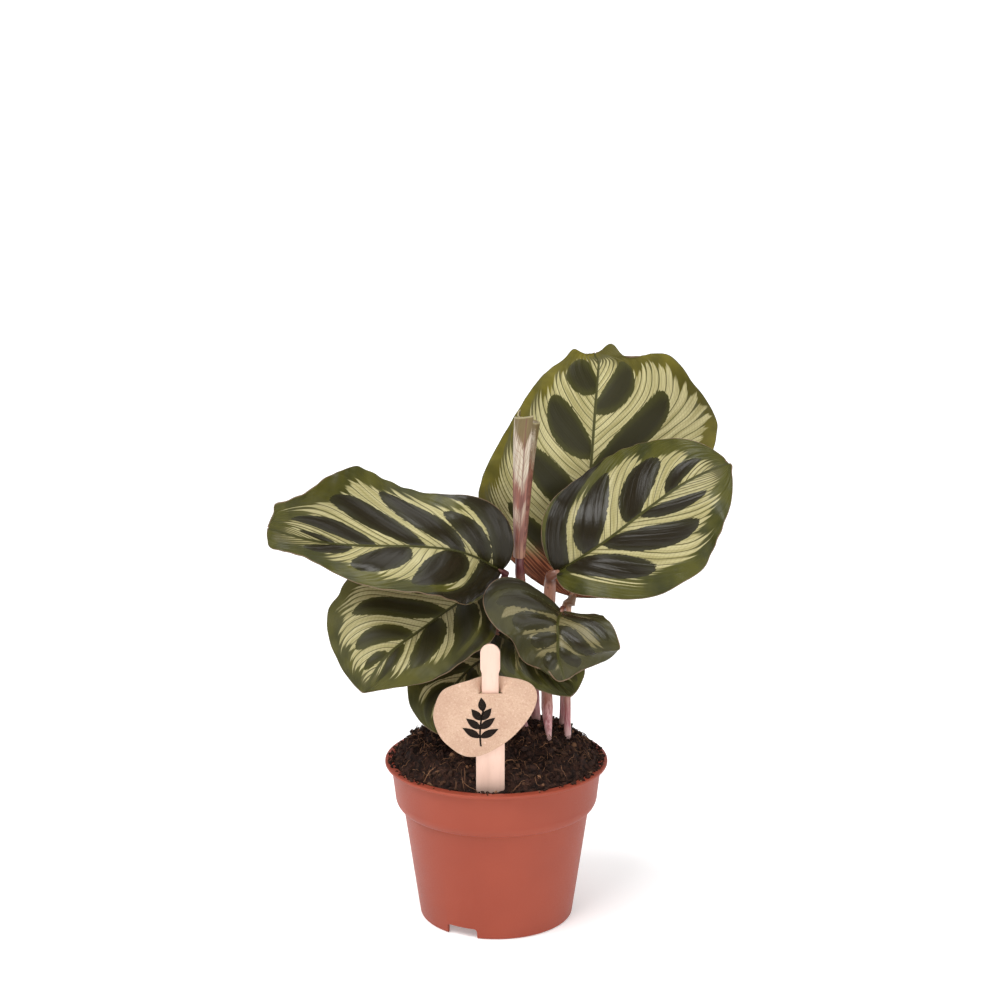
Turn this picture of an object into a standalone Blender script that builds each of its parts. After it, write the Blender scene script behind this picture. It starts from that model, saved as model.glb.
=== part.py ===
"""Potted calathea: a thin plastic pot of soil, seven patterned leaves and a furled one on their own
stalks, and a blank card threaded on a wooden stick. Metres, +Z up, the viewer looks along +Y."""

import math

import bmesh
import bpy
import numpy as np
from mathutils import Matrix, Vector

MM = 0.001
GAP = 0.3 * MM  # between pieces that touch
JOINT_GAP = 0.6 * MM  # between a stalk and the slanted foot of its blade

# Pot
POT_HEIGHT = 65 * MM
POT_WALL = 1.2 * MM
LIP_RADIUS = 45 * MM
LIP_THICKNESS = 1.2 * MM
BAND_TOP_RADIUS = 42.6 * MM
BAND_FOOT_RADIUS = 41 * MM
BAND_FOOT_Z = 50.6 * MM
SHOULDER_RADIUS = 37.7 * MM
SHOULDER_Z = 45.6 * MM
FOOT_RADIUS = 31.1 * MM
FOOT_RING_WIDTH = 1.2 * MM
CHANNEL_Z = 4.2 * MM
PAD_RADIUS = 14 * MM
POT_SEGMENTS = 48
NOTCH_ANGLES = (-26, 94, 214)  # degrees from the front, turning toward +X
NOTCH_WIDTH = 13 * MM
NOTCH_HEIGHT = 4 * MM
NOTCH_DEPTH = 5 * MM  # of its cutter, through the foot ring
DRAIN_HOLES = 6
DRAIN_RADIUS = 3 * MM
DRAIN_CIRCLE = 22.5 * MM
DRAIN_SEGMENTS = 12
DRAIN_DEPTH = 6 * MM  # of its cutter, through the floor

# Soil
SOIL_SEGMENTS = 36
SOIL_RINGS = 8
SOIL_RADIUS = BAND_TOP_RADIUS - POT_WALL - 3 * GAP
MOUND_RISE = 12 * MM  # of the mound's middle over the lip
MOUND_EDGE = 1 * MM
SIDE_HEAP = 4.5 * MM  # more at the sides and the back of the edge
STICK_DIP = 3.5 * MM  # less in front of the stick
STICK_DIP_PLACE = (-2.2 * MM, -40 * MM)
STICK_DIP_SIZE = (8 * MM, 5 * MM)
LUMP_HEIGHT = 1.6 * MM
LUMP_CALM = 0.7  # share of the lumps' height that is lost at the edge
LUMP_PITCH = 400  # radians a metre
LUMP_WAVES = 14
SOIL_SEED = 5

# Label: a stick that leans with the pot's wall, and a card threaded on its neck
LABEL_LEAN = math.atan2(SHOULDER_RADIUS - FOOT_RADIUS, SHOULDER_Z)
STICK_AT_RIM = Vector((-2.2, -35.5, 65)) * MM
STICK_WIDTH = 11 * MM
STICK_THICKNESS = 1.5 * MM
STICK_BELOW_RIM = 42 * MM
STICK_ABOVE_RIM = 61 * MM
NECK_WIDTH = 6.4 * MM
NECK_FOOT = 38.5 * MM  # above the rim, along the stick
NECK_SLOPE = 3 * MM
HEAD_WIDTH = 7.5 * MM
HEAD_LENGTH = 10 * MM
HEAD_SLOPE = 2 * MM
HEAD_STEPS = 7
CARD_THICKNESS = 0.7 * MM
CARD_CENTRE = (-2 * MM, 31.5 * MM)  # across the stick and above the rim
CARD_OUTLINE = (  # mm across and up from the card's centre
    (-1.9, 16), (-9.5, 14), (-16, 10.9), (-19, 4.7), (-19.6, -1.2), (-17.1, -8.6),
    (-12.5, -13.7), (-8, -16.6), (-2.7, -16.8), (3.4, -14), (9.1, -9.8), (14.1, -4.3),
    (18.2, 2.3), (19.8, 8.6), (17.9, 13.3), (12.5, 15.8), (4.9, 16.4),
)
SLIT_LEFT = 6.5 * MM  # from the stick's middle
SLIT_RIGHT = 7 * MM
SLIT_UP = 9.7 * MM  # above the card's centre
SLIT_GAP = 0.4 * MM
STRIP_THICKNESS = 0.6 * MM  # of the strip above the slit, which bows back behind the neck
STRIP_JOIN = 3 * MM  # of it that runs on into the card
STRIP_CLEARANCE = 1 * MM
CUT_HEIGHT = 20 * MM  # of the card's cutters
CUT_DEPTH = 3 * MM

# Leaves
BLADE_THICKNESS = 0.7 * MM
BLADE_ROWS = 17
HALF_COLUMNS = 4
BLADE_START = 0.05  # share of the half turn from base to tip where the blade begins
BLADE_END = 0.97
BEND_STEPS = 12
STALK_SIDES = 8
STALK_STEPS = 14
STALK_LEAD = 3  # mm of a stalk that runs straight into its blade
HOLE_TOP = 90 * MM
TAPER_FOOT = 68 * MM
TAPER_TOP = 84 * MM
FURLED_ROWS = 12
FURLED_TURNS = 1.4
FURLED_START = 70  # degrees
FURLED_STEPS = 17
FURLED_PITCH = 1.15  # mm that the roll closes in over each turn

# Each leaf: midrib points from base to tip in mm, the way its upper face looks at base, middle and tip,
# half widths in mm at even steps round a half turn, fold and curl in degrees, and margin waves as
# (height in mm, count, start). Left and right are seen from above with the tip ahead. A stalk has its radius,
# the share of it that it keeps at the soil, and its points from the soil up.
LEAVES = {
    "back_leaf": dict(
        midrib=((31, 16, 128), (36, 24, 154), (39, 32, 183), (41, 40, 207), (43, 49, 226)),
        face=((0, -1, 0.2), (0, -1, 0.3), (0, -1, 0.9)),
        left=(54, 49, 50, 43, 34, 30, 18),
        left_fold=(5, 14, 17), left_curl=(0, 4, -10), left_wave=(3, 4, 0.6),
        right=(40, 45, 48, 51, 57, 56, 40),
        right_fold=(8, -15, 34), right_curl=(0, -13, 0), right_wave=(3.7, 4, 0.06),
        stalk_radius=2.2, stalk_foot=1,
        stalk=((28, 16, 52), (28, 16, 66), (28.5, 17, 95), (28.6, 16, 122)),
    ),
    "right_leaf": dict(
        midrib=((24, 4, 141), (41, -3, 154), (57, -8, 168), (74, -11, 181), (90, -10, 188)),
        face=((-0.2, -1, 0.7), (-0.2, -1, 0.7), (-0.1, -1, 0.6)),
        left=(24, 34, 33, 35, 28, 20, 10),
        left_fold=(45, -8, 20), left_curl=(5, -22, -5), left_wave=(1, 4, 0.15),
        right=(36, 27, 28, 33, 32, 32, 24),
        right_fold=(28, -2, 18), right_curl=(-6, -20, -4), right_wave=(2.2, 4, 0.27),
        stalk_radius=2.5, stalk_foot=0.5,
        stalk=((22.5, -13, 52), (22, -12, 66), (20.5, 2, 92), (21.5, 8, 128)),
    ),
    "left_leaf": dict(
        midrib=((2, 3, 142), (-14, -7, 152), (-37, -14, 156), (-64, -18, 158), (-88, -17, 164)),
        face=((0, -1, 0.5), (0, -1, 0.9), (-0.3, -1, 0.7)),
        left=(25, 28, 29, 26, 13, 14, 20),
        left_fold=(8, 22, -7), left_curl=(-12, -7, -12), left_wave=(2.8, 3, 0.94),
        right=(12, 32, 27, 34, 35, 33, 46),
        right_fold=(48, 0, 55), right_curl=(4, -19, 10), right_wave=(2.4, 4, 0.03),
        stalk_radius=1.6, stalk_foot=0.9,
        stalk=((11, 17, 52), (11, 17, 66), (8, 14, 100), (3, 9, 130)),
    ),
    "low_left_leaf": dict(
        midrib=((-2, 8, 134), (-17, -7, 130), (-30, -18, 123), (-42, -28, 116), (-51, -34, 103)),
        face=((0, -1, 0.8), (-0.2, -1, 0.55), (-0.3, -1, 0.4)),
        left=(12, 19, 24, 24, 22, 13, 3),
        left_fold=(-12, 18, -18), left_curl=(-17, -4, -18), left_wave=(0.8, 3, 0.5),
        right=(25, 31, 34, 35, 37, 30, 13),
        right_fold=(11, 8, 0), right_curl=(-15, -16, -15), right_wave=(1.5, 3, 0.6),
        stalk_radius=1.6, stalk_foot=0.9,
        stalk=((6, 11, 52), (6, 11, 66), (2, 14, 100), (-1, 15, 127)),
    ),
    "front_leaf": dict(
        midrib=((26, -3, 127), (24, -16, 126), (24, -23, 122), (24, -27, 115), (26.5, -29, 106.5)),
        face=((0, -0.6, 1), (0, -1, 1), (0, -1, 0.4)),
        left=(13, 20, 21, 23, 28, 32, 22),
        left_fold=(4, 12, -6), left_curl=(0, 0, -16), left_wave=(0.8, 3, 0.45),
        right=(40, 41, 36, 22, 16, 14, 11),
        right_fold=(37, 6, 8), right_curl=(0, -12, 0), right_wave=(1.5, 3, 0.73),
        stalk_radius=1.5, stalk_foot=1,
        stalk=((29, -1, 52), (29, -1, 66), (28.5, 2, 95), (27.5, 3, 120)),
    ),
    "low_shaded_leaf": dict(
        midrib=((3, 3, 108), (-8, -9, 107), (-16, -18, 101), (-21, -24, 93.5), (-22, -27, 84)),
        face=((-0.2, -1, 1.2), (-0.2, -1, 0.8), (-0.2, -1, 0.4)),
        left=(8, 12, 16, 19, 18, 14, 8),
        left_fold=(0, 10, 0), left_curl=(-15, -15, -15), left_wave=(1, 3, 0),
        right=(14, 20, 22, 22, 19, 14, 7),
        right_fold=(0, 10, 0), right_curl=(-15, -15, -15), right_wave=(1, 3, 0.4),
        stalk_radius=1.4, stalk_foot=1,
        stalk=((14, 1, 52), (14, 1, 66), (9.5, 4, 86), (6, 6, 102)),
    ),
    "low_front_leaf": dict(
        midrib=((0, -1, 117), (7, -8, 115), (14.5, -15, 110), (22.5, -20, 104.5), (29.5, -24, 98.5)),
        face=((0, -1, 1.3), (0, -1, 1), (0.1, -1, 0.6)),
        left=(24, 23, 18, 15, 17, 19, 14),
        left_fold=(-10, 6, 0), left_curl=(-15, -15, -15), left_wave=(1, 3, 0),
        right=(18, 18, 17, 13, 9, 6, 4),
        right_fold=(10, 10, 0), right_curl=(-15, -15, -15), right_wave=(1, 3, 0.4),
        stalk_radius=1.4, stalk_foot=1,
        stalk=((2.5, 6, 52), (2.5, 6, 66), (4, 9.5, 92), (2, 10, 108)),
    ),
}
FURLED = dict(
    axis=((9.5, 6, 147), (10.2, 5, 166), (11.2, 3, 187), (12.6, 1, 206.5)),
    radius=(2.7, 3.7, 4.6, 5.5),
    mouth_dip=4,
    stalk_radius=2.1,
    stalk_foot=1,
    stalk=((17, 20, 52), (17, 20, 66), (14.5, 17, 100), (10.5, 10, 132)),
)

COLOURS = {  # base colour, roughness
    "terracotta plastic": ((0.44, 0.098, 0.060), 0.5),
    "soil": ((0.035, 0.016, 0.010), 0.95),
    "leaf": ((0.060, 0.080, 0.022), 0.35),
    "furled leaf": ((0.40, 0.19, 0.14), 0.45),
    "stalk": ((0.26, 0.075, 0.055), 0.45),
    "pale wood": ((0.72, 0.50, 0.34), 0.7),
    "kraft card": ((0.74, 0.50, 0.36), 0.8),
}


def clear_scene():
    for obj in list(bpy.data.objects):
        bpy.data.objects.remove(obj)


def new_collection(name):
    collection = bpy.data.collections.new(name)
    bpy.context.scene.collection.children.link(collection)
    return collection


def material(name):
    found = bpy.data.materials.get(name)
    if found:
        return found
    colour, roughness = COLOURS[name]
    made = bpy.data.materials.new(name)
    made.use_nodes = True
    shader = made.node_tree.nodes["Principled BSDF"]
    shader.inputs["Base Color"].default_value = (*colour, 1)
    shader.inputs["Roughness"].default_value = roughness
    shader.inputs["Metallic"].default_value = 0
    return made


def add_object(name, data, collection, material_name=None):
    obj = bpy.data.objects.new(name, data)
    collection.objects.link(obj)
    if material_name:
        data.materials.append(material(material_name))
    return obj


def add_cutter(name, data):
    obj = add_object(name, data, CUTTERS)
    obj.hide_render = True
    obj.display_type = "WIRE"
    return obj


def mesh_from(name, fill):
    """A mesh whose faces fill(bm) makes."""
    bm = bmesh.new()
    fill(bm)
    bmesh.ops.recalc_face_normals(bm, faces=bm.faces)
    mesh = bpy.data.meshes.new(name)
    bm.to_mesh(mesh)
    bm.free()
    return mesh


def evaluated_mesh(obj, name):
    """A mesh of the object as its modifiers or its curve make it, with doubled points merged."""
    bpy.context.view_layer.update()
    graph = bpy.context.evaluated_depsgraph_get()
    mesh = bpy.data.meshes.new_from_object(obj.evaluated_get(graph))
    mesh.name = name
    bm = bmesh.new()
    bm.from_mesh(mesh)
    bmesh.ops.remove_doubles(bm, verts=bm.verts, dist=1e-6)
    bmesh.ops.recalc_face_normals(bm, faces=bm.faces)
    bm.to_mesh(mesh)
    bm.free()
    return mesh


def cut(obj, cutter, operation="DIFFERENCE"):
    boolean = obj.modifiers.new(cutter.name, "BOOLEAN")
    boolean.operation = operation
    boolean.solver = "EXACT"
    boolean.object = cutter


def turned(name, profile, collection, material_name, segments):
    """An object turned about Z from (radius, height) points that start and end on the axis."""
    mesh = bpy.data.meshes.new(name)
    points = [(radius, 0, height) for radius, height in profile]
    mesh.from_pydata(points, [(i, i + 1) for i in range(len(points) - 1)], [])
    obj = add_object(name, mesh, collection, material_name)
    screw = obj.modifiers.new("Turn", "SCREW")
    screw.steps = segments
    screw.render_steps = segments
    screw.use_merge_vertices = True
    screw.merge_threshold = 0.05 * MM
    return obj


def lying_prism(name, points, depth):
    """An outline in X and Y, with half of depth above it and half below."""
    curve = bpy.data.curves.new(name, "CURVE")
    curve.dimensions = "2D"
    curve.fill_mode = "BOTH"
    curve.extrude = depth / 2
    spline = curve.splines.new("POLY")
    spline.points.add(len(points) - 1)
    for point, (x, y) in zip(spline.points, points):
        point.co = (x, y, 0, 1)
    spline.use_cyclic_u = True
    temporary = add_object(name, curve, CUTTERS)
    mesh = evaluated_mesh(temporary, name)
    bpy.data.objects.remove(temporary)
    return mesh


def upright_prism(name, points, depth):
    """An outline in X and Z, with half of depth before it and half behind."""
    mesh = lying_prism(name, points, depth)
    mesh.transform(Matrix.Rotation(math.radians(90), 4, "X"))
    return mesh


# Smooth lines through a few points


def spline(values, places):
    """A natural cubic spline through evenly spaced values, read at places from 0 to 1."""
    values = np.array(values, float).reshape(len(values), -1)
    last = len(values) - 1
    system = np.eye(last + 1)
    pull = np.zeros_like(values)
    for i in range(1, last):
        system[i, i - 1 : i + 2] = (1, 4, 1)
        pull[i] = 6 * (values[i - 1] - 2 * values[i] + values[i + 1])
    bend = np.linalg.solve(system, pull)
    places = np.clip(places, 0, 1) * last
    start = np.minimum(places.astype(int), last - 1)
    far = (places - start)[:, None]
    near = 1 - far
    cubic = (near**3 - near) * bend[start] + (far**3 - far) * bend[start + 1]
    return near * values[start] + far * values[start + 1] + cubic / 6


def line_through(points, shares):
    """Points of the smooth line through points, at shares of its length."""
    fine = np.linspace(0, 1, 201)
    line = spline(points, fine)
    steps = np.linalg.norm(np.diff(line, axis=0), axis=1)
    length = np.concatenate([[0], np.cumsum(steps)])
    return spline(points, np.interp(np.asarray(shares) * length[-1], length, fine))


def unit(vectors):
    return vectors / np.linalg.norm(vectors, axis=-1, keepdims=True)


def frame_along(points, face, shares):
    """Places, tangents and face normals along a line, the normals leaning to the face vectors."""
    step = 0.001
    places = line_through(points, shares)
    ahead = line_through(points, np.minimum(shares + step, 1))
    behind = line_through(points, np.maximum(shares - step, 0))
    tangents = unit(ahead - behind)
    facing = spline(face, shares)
    normals = unit(facing - (facing * tangents).sum(axis=1, keepdims=True) * tangents)
    return places, tangents, normals


# Pot


def wall_radius(height):
    """Outer radius of the tapering body."""
    return FOOT_RADIUS + (SHOULDER_RADIUS - FOOT_RADIUS) * height / SHOULDER_Z


def pot_inner_profile():
    floor = CHANNEL_Z + POT_WALL
    return [
        (PAD_RADIUS - POT_WALL, POT_WALL),
        (PAD_RADIUS, floor),
        (wall_radius(floor) - POT_WALL, floor),
        (SHOULDER_RADIUS - POT_WALL, SHOULDER_Z),
        (BAND_FOOT_RADIUS - POT_WALL, BAND_FOOT_Z),
        (BAND_TOP_RADIUS - POT_WALL, POT_HEIGHT),
    ]


def shoulder_arc(steps=4):
    """The rounded step between band and body, from its top to its foot."""
    width = BAND_FOOT_RADIUS - SHOULDER_RADIUS
    drop = BAND_FOOT_Z - SHOULDER_Z
    arc = []
    for i in range(1, steps):
        turn = math.pi / 2 * i / steps
        arc.append((SHOULDER_RADIUS + width * math.cos(turn), BAND_FOOT_Z - drop * math.sin(turn)))
    return arc


def make_pot():
    inside = [(0, POT_WALL)] + pot_inner_profile()
    outside = [
        (LIP_RADIUS, POT_HEIGHT),
        (LIP_RADIUS, POT_HEIGHT - LIP_THICKNESS),
        (BAND_TOP_RADIUS, POT_HEIGHT - LIP_THICKNESS),
        (BAND_FOOT_RADIUS, BAND_FOOT_Z),
        *shoulder_arc(),
        (SHOULDER_RADIUS, SHOULDER_Z),
        (FOOT_RADIUS, 0),
    ]
    ring = FOOT_RADIUS - FOOT_RING_WIDTH
    underside = [(ring, 0), (ring, CHANNEL_Z), (PAD_RADIUS + POT_WALL, CHANNEL_Z), (PAD_RADIUS, 0), (0, 0)]
    pot = turned("pot", inside + outside + underside, PARTS, "terracotta plastic", POT_SEGMENTS)
    cut(pot, add_cutter("pot_openings", mesh_from("pot_openings", pot_openings)))
    weld = pot.modifiers.new("Weld", "WELD")
    weld.merge_threshold = 1e-6


def pot_openings(bm):
    """Notches through the foot's edge and drain holes through the raised floor."""
    for angle in NOTCH_ANGLES:
        turn = Matrix.Rotation(math.radians(angle), 4, "Z")
        place = turn @ Matrix.Translation((0, -FOOT_RADIUS, 0))
        size = Matrix.Diagonal((NOTCH_WIDTH, NOTCH_DEPTH, 2 * NOTCH_HEIGHT, 1))
        bmesh.ops.create_cube(bm, size=1, matrix=place @ size)
    for i in range(DRAIN_HOLES):
        turn = math.tau * (i + 0.25) / DRAIN_HOLES
        place = Vector((math.cos(turn) * DRAIN_CIRCLE, math.sin(turn) * DRAIN_CIRCLE, CHANNEL_Z))
        bmesh.ops.create_cone(
            bm, cap_ends=True, segments=DRAIN_SEGMENTS, radius1=DRAIN_RADIUS, radius2=DRAIN_RADIUS,
            depth=DRAIN_DEPTH, matrix=Matrix.Translation(place),
        )


# Soil


def soil_profile():
    """The mound's rings from the middle to the pot's wall, and the side down to the pot's floor."""
    profile = [(0, POT_HEIGHT + MOUND_RISE)]
    for i in range(1, SOIL_RINGS + 1):
        share = i / SOIL_RINGS
        rise = MOUND_EDGE + (MOUND_RISE - MOUND_EDGE) * (1 - share**2)
        profile.append((SOIL_RADIUS * share, POT_HEIGHT + rise))
    for radius, height in reversed(pot_inner_profile()[1:-1]):
        profile.append((radius - 2 * GAP, height + GAP if height < SHOULDER_Z / 2 else height))
    profile.append((0, CHANNEL_Z + POT_WALL + GAP))
    return profile


def lump(x, y, waves):
    """A rough height of about -1 to 1 from crossing waves."""
    return sum(math.sin(fx * x + fy * y + start) for fx, fy, start in waves) / len(waves) ** 0.5


def mound_change(x, y, waves):
    """Lumps, a heap round the edge and a dip before the stick, over the turned mound."""
    share = math.hypot(x, y) / SOIL_RADIUS
    lumps = LUMP_HEIGHT * lump(x, y, waves) * (1 - LUMP_CALM * share)
    heap = SIDE_HEAP * share**2 * min(1, 1 + y / SOIL_RADIUS)
    across = (x - STICK_DIP_PLACE[0]) / STICK_DIP_SIZE[0]
    along = (y - STICK_DIP_PLACE[1]) / STICK_DIP_SIZE[1]
    return lumps + heap - STICK_DIP * math.exp(-(across**2) - along**2)


def make_soil():
    raw = turned("soil_turned", soil_profile(), CUTTERS, None, SOIL_SEGMENTS)
    mesh = evaluated_mesh(raw, "potting_soil")
    bpy.data.objects.remove(raw)
    rng = np.random.default_rng(SOIL_SEED)
    waves = [(*rng.normal(0, LUMP_PITCH, 2), rng.uniform(0, math.tau)) for _ in range(LUMP_WAVES)]
    for vertex in mesh.vertices:
        x, y, z = vertex.co
        if z > POT_HEIGHT:
            vertex.co.z += mound_change(x, y, waves)
    mesh.shade_smooth()
    return add_object("potting_soil", mesh, PARTS, "soil")


# Leaves


def margin_wave(wave, turn):
    height, count, start = wave
    return height * np.sin(2 * np.pi * (count * turn + start))


def blade_points(leaf, rows=BLADE_ROWS, half_columns=HALF_COLUMNS):
    """The blade's middle surface in mm: rows from base to tip, columns from the left to the right margin."""
    turn = np.linspace(BLADE_START, BLADE_END, rows)
    bulge = np.sin(np.pi * turn)
    shares = (1 - np.cos(np.pi * turn)) / 2
    places, tangents, normals = frame_along(leaf["midrib"], leaf["face"], shares)
    sides = np.cross(tangents, normals)
    points = np.zeros((rows, 2 * half_columns + 1, 3))
    for side, sign in (("left", -1), ("right", 1)):
        width = bulge * spline(leaf[side], turn)[:, 0]
        fold = np.radians(spline(leaf[side + "_fold"], shares))
        curl = np.radians(spline(leaf[side + "_curl"], shares))
        wave = margin_wave(leaf[side + "_wave"], turn) * bulge
        for column in range(half_columns + 1):
            across = column / half_columns
            steps = (np.arange(BEND_STEPS) + 0.5) / BEND_STEPS * across
            slope = fold + curl * steps
            out = width * across * np.cos(slope).mean(axis=1)
            up = width * across * np.sin(slope).mean(axis=1) + wave * across**2
            line = places + sign * out[:, None] * sides + up[:, None] * normals
            points[:, half_columns + sign * column] = line
    return points


def sheet(bm, points):
    """A grid of points as a triangulated sheet."""
    rows, columns = points.shape[:2]
    verts = [[bm.verts.new(p) for p in row] for row in points * MM]
    for i in range(rows - 1):
        for j in range(columns - 1):
            bm.faces.new((verts[i][j], verts[i][j + 1], verts[i + 1][j + 1], verts[i + 1][j]))
    bmesh.ops.triangulate(bm, faces=bm.faces, quad_method="FIXED")


def thickened(name, points, material_name):
    obj = add_object(name, mesh_from(name, lambda bm: sheet(bm, points)), PARTS, material_name)
    solidify = obj.modifiers.new("Thickness", "SOLIDIFY")
    solidify.thickness = BLADE_THICKNESS
    solidify.offset = 0
    obj.data.shade_smooth()
    return obj


def stalk_line(points, base, ahead):
    """The stalk's line in metres, from the soil to just short of the blade's first row."""
    end = base - ahead * (JOINT_GAP / MM)
    before = end - ahead * STALK_LEAD
    line = line_through([*points, before], np.linspace(0, 1, STALK_STEPS))
    return np.vstack([line, end]) * MM


def tube(name, line, radii):
    """A round bar along a line of points with a radius for each, as a curve with filled caps."""
    curve = bpy.data.curves.new(name, "CURVE")
    curve.dimensions = "3D"
    curve.bevel_depth = 1
    curve.bevel_resolution = (STALK_SIDES - 4) // 2
    curve.use_fill_caps = True
    path = curve.splines.new("POLY")
    path.points.add(len(line) - 1)
    for point, place, radius in zip(path.points, line, radii):
        point.co = (*place, 1)
        point.radius = radius
    return curve


def stalk_radii(line, radius, foot):
    """The full radius above TAPER_TOP, and foot times it at the soil and below."""
    rise = np.clip((line[:, 2] - TAPER_FOOT) / (TAPER_TOP - TAPER_FOOT), 0, 1)
    return radius * MM * (foot + (1 - foot) * rise)


def make_stalk(name, line, shape, soil):
    """The stalk, and its plain hole in the soil."""
    radii = stalk_radii(line, shape["stalk_radius"], shape["stalk_foot"])
    add_object(name, tube(name, line, radii), PARTS, "stalk")
    low = line[:, 2] < HOLE_TOP
    places = line[low]
    places[0] += unit(places[0] - places[1]) * GAP
    hole = tube(name + "_hole", places, radii[low] + GAP)
    temporary = add_object(name + "_hole", hole, CUTTERS)
    mesh = evaluated_mesh(temporary, name + "_hole")
    bpy.data.objects.remove(temporary)
    cut(soil, add_cutter(name + "_hole", mesh))


def foot_of(axis, face, share=0.0):
    """The place where a blade starts on its midrib, and the way the midrib runs there."""
    places, tangents, _ = frame_along(axis, face, np.array([share]))
    return places[0], tangents[0]


def make_leaf(name, leaf, soil):
    thickened(name + "_blade", blade_points(leaf), "leaf")
    start = (1 - math.cos(math.pi * BLADE_START)) / 2
    foot, ahead = foot_of(leaf["midrib"], leaf["face"], start)
    make_stalk(name + "_stalk", stalk_line(leaf["stalk"], foot, ahead), leaf, soil)


def furled_points():
    """The rolled sheet in mm: rows from its foot to its mouth, columns round the roll from outside in."""
    shares = np.linspace(0, 1, FURLED_ROWS)
    face = [(0, -1, 0)] * 3
    places, tangents, normals = frame_along(FURLED["axis"], face, shares)
    sides = np.cross(tangents, normals)
    radius = spline(FURLED["radius"], shares)[:, 0]
    turns = np.linspace(0, FURLED_TURNS, FURLED_STEPS)
    points = np.zeros((FURLED_ROWS, FURLED_STEPS, 3))
    for column, turn in enumerate(turns):
        angle = math.tau * turn + math.radians(FURLED_START)
        reach = radius - FURLED_PITCH * turn
        dip = FURLED["mouth_dip"] * shares**6 * math.sin(math.pi * turn / FURLED_TURNS)
        out = reach[:, None] * (math.cos(angle) * sides + math.sin(angle) * normals)
        points[:, column] = places + out - dip[:, None] * tangents
    return points


def make_furled_leaf(soil):
    thickened("furled_leaf_blade", furled_points(), "furled leaf")
    foot, ahead = foot_of(FURLED["axis"], [(0, -1, 0)] * 3)
    make_stalk("furled_leaf_stalk", stalk_line(FURLED["stalk"], foot, ahead), FURLED, soil)


# Label


def label_frame(across=0, front=0, up=0):
    """World placing of a point given across the stick, in front of it and along it from the rim."""
    lean = Matrix.Rotation(LABEL_LEAN, 4, "X")
    return Matrix.Translation(STICK_AT_RIM) @ lean @ Matrix.Translation((across, -front, up))


def stick_outline(grow=0):
    """The stick's front view, from below the rim to its rounded head, grown by grow for its slot."""
    half = STICK_WIDTH / 2 + grow
    neck = NECK_WIDTH / 2 + grow
    head = HEAD_WIDTH / 2 + grow
    right = [
        (half, -STICK_BELOW_RIM - grow),
        (half, NECK_FOOT - NECK_SLOPE),
        (neck, NECK_FOOT),
        (neck, STICK_ABOVE_RIM - HEAD_LENGTH - HEAD_SLOPE),
        (head, STICK_ABOVE_RIM - HEAD_LENGTH),
    ]
    for i in range(HEAD_STEPS):
        turn = math.pi / 2 * i / HEAD_STEPS
        right.append((head * math.cos(turn), STICK_ABOVE_RIM - head * (1 - math.sin(turn))))
    return right + [(0, STICK_ABOVE_RIM)] + [(-x, y) for x, y in reversed(right)]


def make_stick(soil):
    mesh = upright_prism("label_stick", stick_outline(), STICK_THICKNESS)
    stick = add_object("label_stick", mesh, PARTS, "pale wood")
    stick.matrix_world = label_frame()
    room = upright_prism("stick_slot", stick_outline(GAP), STICK_THICKNESS + 2 * GAP)
    slot = add_cutter("stick_slot", room)
    slot.matrix_world = label_frame()
    cut(soil, slot)


def smooth_outline(points, steps=3):
    """A closed outline with steps points for each stretch between the given ones."""
    ring = [Vector(p) * MM for p in points]
    count = len(ring)
    outline = []
    for i in range(count):
        a, b, c, d = (ring[(i + k) % count] for k in (-1, 0, 1, 2))
        for j in range(steps):
            t = j / steps
            place = 2 * b + (c - a) * t + (2 * a - 5 * b + 4 * c - d) * t**2 + (3 * b - a - 3 * c + d) * t**3
            outline.append(tuple(place / 2))
    return outline


def strip_outline():
    """Top view of the strip above the slit: it bows back behind the stick's neck."""
    back = STICK_THICKNESS + 2 * GAP + CARD_THICKNESS
    bend = NECK_WIDTH / 2 + STRIP_CLEARANCE
    middle = [
        (-SLIT_LEFT - STRIP_JOIN, 0),
        (-SLIT_LEFT, 0),
        (-bend, back),
        (bend, back),
        (SLIT_RIGHT, 0),
        (SLIT_RIGHT + STRIP_JOIN, 0),
    ]
    half = STRIP_THICKNESS / 2
    front = [(x - CARD_CENTRE[0], y - half) for x, y in middle]
    rear = [(x - CARD_CENTRE[0], y + half) for x, y in reversed(middle)]
    return front + rear


def slit_box(bm):
    """The space above the slit's line that the flat card leaves to the strip and the neck."""
    middle = (SLIT_RIGHT - SLIT_LEFT) / 2 - CARD_CENTRE[0]
    place = Matrix.Translation((middle, 0, SLIT_UP + CUT_HEIGHT / 2))
    size = Matrix.Diagonal((SLIT_LEFT + SLIT_RIGHT, CUT_DEPTH, CUT_HEIGHT, 1))
    bmesh.ops.create_cube(bm, size=1, matrix=place @ size)


def card_cutter(name, mesh):
    """A cutter given from the card's centre."""
    cutter = add_cutter(name, mesh)
    cutter.matrix_world = card_place()
    return cutter


def card_place():
    front = STICK_THICKNESS / 2 + GAP + CARD_THICKNESS / 2
    return label_frame(CARD_CENTRE[0], front, CARD_CENTRE[1])


def make_card():
    outline = smooth_outline(CARD_OUTLINE)
    mesh = upright_prism("label_card", outline, CARD_THICKNESS)
    card = add_object("label_card", mesh, PARTS, "kraft card")
    card.matrix_world = card_place()
    cut(card, card_cutter("card_slit", mesh_from("card_slit", slit_box)))
    strip_mesh = lying_prism("card_strip", strip_outline(), CUT_HEIGHT)
    strip_mesh.transform(Matrix.Translation((0, 0, SLIT_UP + SLIT_GAP + CUT_HEIGHT / 2)))
    strip = card_cutter("card_strip", strip_mesh)
    cut(strip, card_cutter("card_outline", upright_prism("card_outline", outline, CUT_HEIGHT)), "INTERSECT")
    cut(card, strip, "UNION")


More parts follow.
